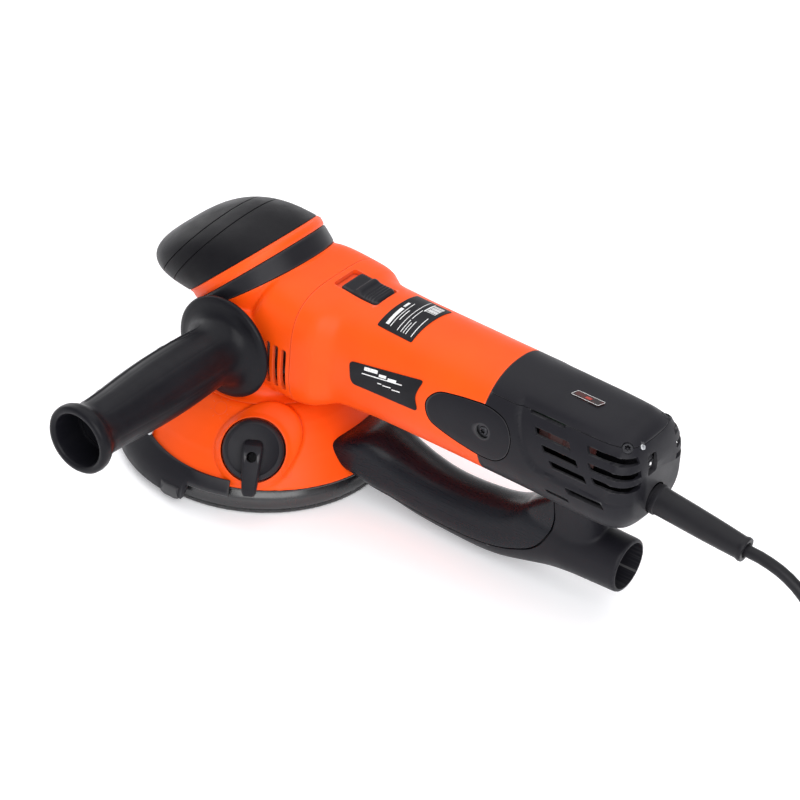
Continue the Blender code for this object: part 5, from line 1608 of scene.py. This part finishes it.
def neighbours_room():
    """Cutters for the room that the duct leaves to the barrel and to the skirt."""
    room = [section(x, *eased(BARREL, x), 144, -0.3) for x in spaced(150.0, REAR_END_X, 1.5)]
    cone = [(0, 8.0), (RIM_R + 0.6, 8.0), (RIM_R + 0.6, RIM_Z)]
    cone += [(SHOULDER_R + 1.8, SHOULDER_Z - 1.2), (SHOULDER_R - 2, SHOULDER_Z + 0.6)]
    cone.append((0, SHOULDER_Z + 0.6))
    return skin(room), turned(cone, 160, about((SPINDLE_X, 0, 0)))


def duct_and_grip():
    """The duct with its strut as one moulding, and the glossy saddle let into its upper side."""
    duct = duct_form()
    moulded(duct, 0.8, 16)
    duct.name = "duct_moulding"
    for room in neighbours_room():
        carve(duct, room)
    line = smooth_route([(x, 0, z) for x, z in GRIP_PARTING], 2.0)
    outline = [(p.x, p.z) for p in line] + [(204.0, 90.0), (58.0, 90.0)]
    grip = copied(duct, "duct_grip_skin")
    carve(grip, prism_along_y(outline, -40, 40), "INTERSECT")
    # The parting gap: the duct is cut back a little more than the grip, at its ends and below.
    cut = [(x + (x - 132.0) * 0.012, z - 0.75) for x, z in outline]
    carve(duct, prism_along_y(cut, -40, 40))
    core = duct_form(3.4)
    carve(grip, copied(core, "grip_core"))
    carve(duct, core, "UNION")
    for room in neighbours_room():
        carve(duct, room)
    passage = [duct_section(x, 4.8, 80) for x in spaced(46.0, 214.0, 4.0)]
    top, bottom = OUTLET_Z + OUTLET_BORE, OUTLET_Z - OUTLET_BORE
    passage += [section(x, OUTLET_BORE, top, bottom, 2.0, 80) for x in (222.0, 252.0)]
    carve(duct, skin(passage))
    finished(duct, "charcoal", "dust_duct", angle=40)
    finished(grip, "gloss", "duct_grip", angle=40)


# ---------------------------------------------------------------- switch, dial and sleeve


# How far the thumb pad rises over the barrel along x.
THUMB_PAD = (
    (56.4, 0.0), (56.9, 0.9), (58.2, 1.5), (62.8, 1.6), (64.8, 1.9), (66.0, 3.0), (67.2, 3.2),
    (68.4, 2.7), (69.6, 1.9), (71.4, 1.5), (77.6, 1.3), (79.2, 0.8), (79.9, 0.0),
)


def switch():
    """The slider's thumb pad: smooth in front, a tall cross ridge, and fine ribs behind it."""
    rings = []
    for x in spaced(56.4, 79.9, 0.35):
        rise = eased(THUMB_PAD, x)[0]
        if 70.8 < x < 78.4:
            rise += 0.2 * math.sin(2 * math.pi * (x - 70.8) / 1.9)
        fall = eased(BARREL, x)[1]
        half = 8.9 * (1 - 0.2 * blend_in((x - 76.9) / 4.0) - 0.1 * blend_in((58.2 - x) / 3.0))
        ring = []
        for y in spaced(-1.0, 1.0, 0.1):
            edge = (1 - abs(y) ** 6) ** 0.5
            ring.append(Vector((x, half * y, fall + rise * (0.3 + 0.7 * edge) - 0.2)))
        ring += [Vector((x, half, fall - 2.1)), Vector((x, -half, fall - 2.1))]
        rings.append(ring)
    made = solid("slide_switch", skin(rings))
    carve(made, block((65.4, -6.4, 121.5), (78.6, 6.4, 126.4)), "UNION")
    return finished(made, "charcoal", "switch_slider", "switch_slider", 40)


def dial():
    """The speed wheel, knurled round its rim."""
    here = about((DIAL_X, -10.4, DIAL_Z), (0, 1, 0))
    rings = []
    for height, inset in ((0, 0.9), (0.5, 0.2), (1.0, 0), (5.8, 0), (6.3, 0.2), (6.8, 0.9)):
        ring = []
        for angle in turns(240):
            radius = DIAL_R - inset - 0.55 * max(0.0, math.cos(20 * angle)) ** 2
            ring.append(here @ around(radius, angle, height))
        rings.append(ring)
    finished(solid("speed_wheel", skin(rings)), "charcoal", "speed_dial", "speed_dial")
    mark = about((DIAL_X + DIAL_R - 0.1, -7.0, DIAL_Z + 1.2), (1, 0, 0.15))
    dot = [(0, -0.2), (1.0, -0.2), (0.9, 0.12), (0, 0.2)]
    finished(solid("speed_wheel_mark", turned(dot, 24, mark)), "print", body="speed_dial")


def sleeve():
    """The tapered cable sleeve, with a collar at its base and an open rolled mouth."""
    along = SLEEVE_TO - SLEEVE_FROM
    length = along.length
    here = about(SLEEVE_FROM, along)
    profile = [(3.6, 0.4), (7.9, 0.4), (7.9, 2.4), (8.5, 2.6), (8.5, 4.4), (7.9, 4.9), (7.7, 8.0)]
    profile += [(7.6, 14.0), (7.4, 24.0), (7.1, 36.0), (6.7, 46.0)]
    mouth = [(6.4, 4.2), (6.4, 3.2), (6.8, 2.4), (6.9, 1.2), (6.6, 0.2), (5.6, 0.0), (4.6, 0.2)]
    mouth.append((3.6, 1.8))
    profile += [(radius, length - back) for radius, back in mouth]
    made = solid("strain_relief", turned(profile, 96, here))
    return finished(made, "cable", "cable_sleeve", angle=40)


def rear_details():
    """The small bright slotted screw over the dial."""
    here = about((251.5, -12.4, 117.5), (0.74, -0.2, 0.64))
    head = [(0, -1.5), (1.5, -1.5), (1.5, 0.2), (1.2, 0.6), (0.6, 0.75), (0, 0.75)]
    made = solid("rear_face_screw", turned(head, 40, here))
    slot = ((-0.25, -1.0), (0.25, -1.0), (0.25, 1.0), (-0.25, 1.0))
    carve(made, prism_along_z(slot, 0.3, 2.0, here))
    finished(made, "steel")


def inner_parts():
    """The red ribbed frames that show through the vents, and near-black sheets behind the rear ones
    as painted shade inside the housing.
    """

    def panel(name, y, half, left, right, low, high):
        return solid(name, block((left, y - half, low), (right, y + half, high)))

    for side, word in SIDES:
        frame = panel(f"inner_frame_{word}", side * 21.0, 1.0, 196.0, 230.0, 99.0, 110.8)
        for x in (203.0, 212.0, 221.0):
            carve(frame, panel("rib", side * 21.0, 2.2, x - 0.8, x + 0.8, 99.5, 110.3), "UNION")
        # A near-black sheet behind the rear vents: painted shade inside the housing.
        shade_sheet = panel(f"inner_shade_sheet_{word}", side * 20.4, 1.0, 230.6, 246.0, 84.0, 114.5)
        for piece, look in ((frame, "deep_red"), (shade_sheet, "seal")):
            modify(piece, "BEVEL", width=0.4 * MM, segments=2, limit_method="ANGLE")
            finished(piece, look)


KEPT = {
    "steel": (
        "eccentric_spindle", "bevel_gear", "bevel_pinion", "motor_shaft", "pad_spindle", "pad_stud",
        "handle_stud",
    ),
    "ground_steel": (
        "front_motor_bearing", "rear_motor_bearing", "spindle_bearing_lower",
        "spindle_bearing_upper", "pad_bearing",
    ),
    "laminated_steel": ("rotor_core", "stator_core"),
    "aluminium": ("gear_case",),
    "winding": ("field_coil_upper", "field_coil_lower"),
    "copper": ("commutator",),
    "brass": ("brush_holder_left", "brush_holder_right"),
    "carbon": ("carbon_brush_left", "carbon_brush_right"),
    "board": ("control_board",),
    "charcoal": ("cooling_fan", "switch_body", "pad_plate"),
}


def kept_nodes():
    """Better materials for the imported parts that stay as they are."""
    for look, names in KEPT.items():
        for name in names:
            for place in frame["nodes"][name].material_slots:
                place.material = FINISHES[look]


def main():
    make_finishes()
    camera()
    cord_and_plug()
    studio()
    kept_nodes()
    head_shell()
    motor_shell()
    rear_shell()
    top = lid()
    led(surface_of(top))
    for side, word in SIDES:
        centre, way = (LID_SCREW[0], side * LID_SCREW[1], 117.9), (0.25, 0.42 * side, 1)
        screw(f"lid_screw_{word}", f"rear_screw_{word}", centre, way, 2.9)
    for pieces in (
        brush_covers, plates, cap, band_and_ring, skirt, knob, guard, pad, handle,
        duct_and_grip, switch, dial, sleeve, rear_details, inner_parts,
    ):
        pieces()


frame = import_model()
main()
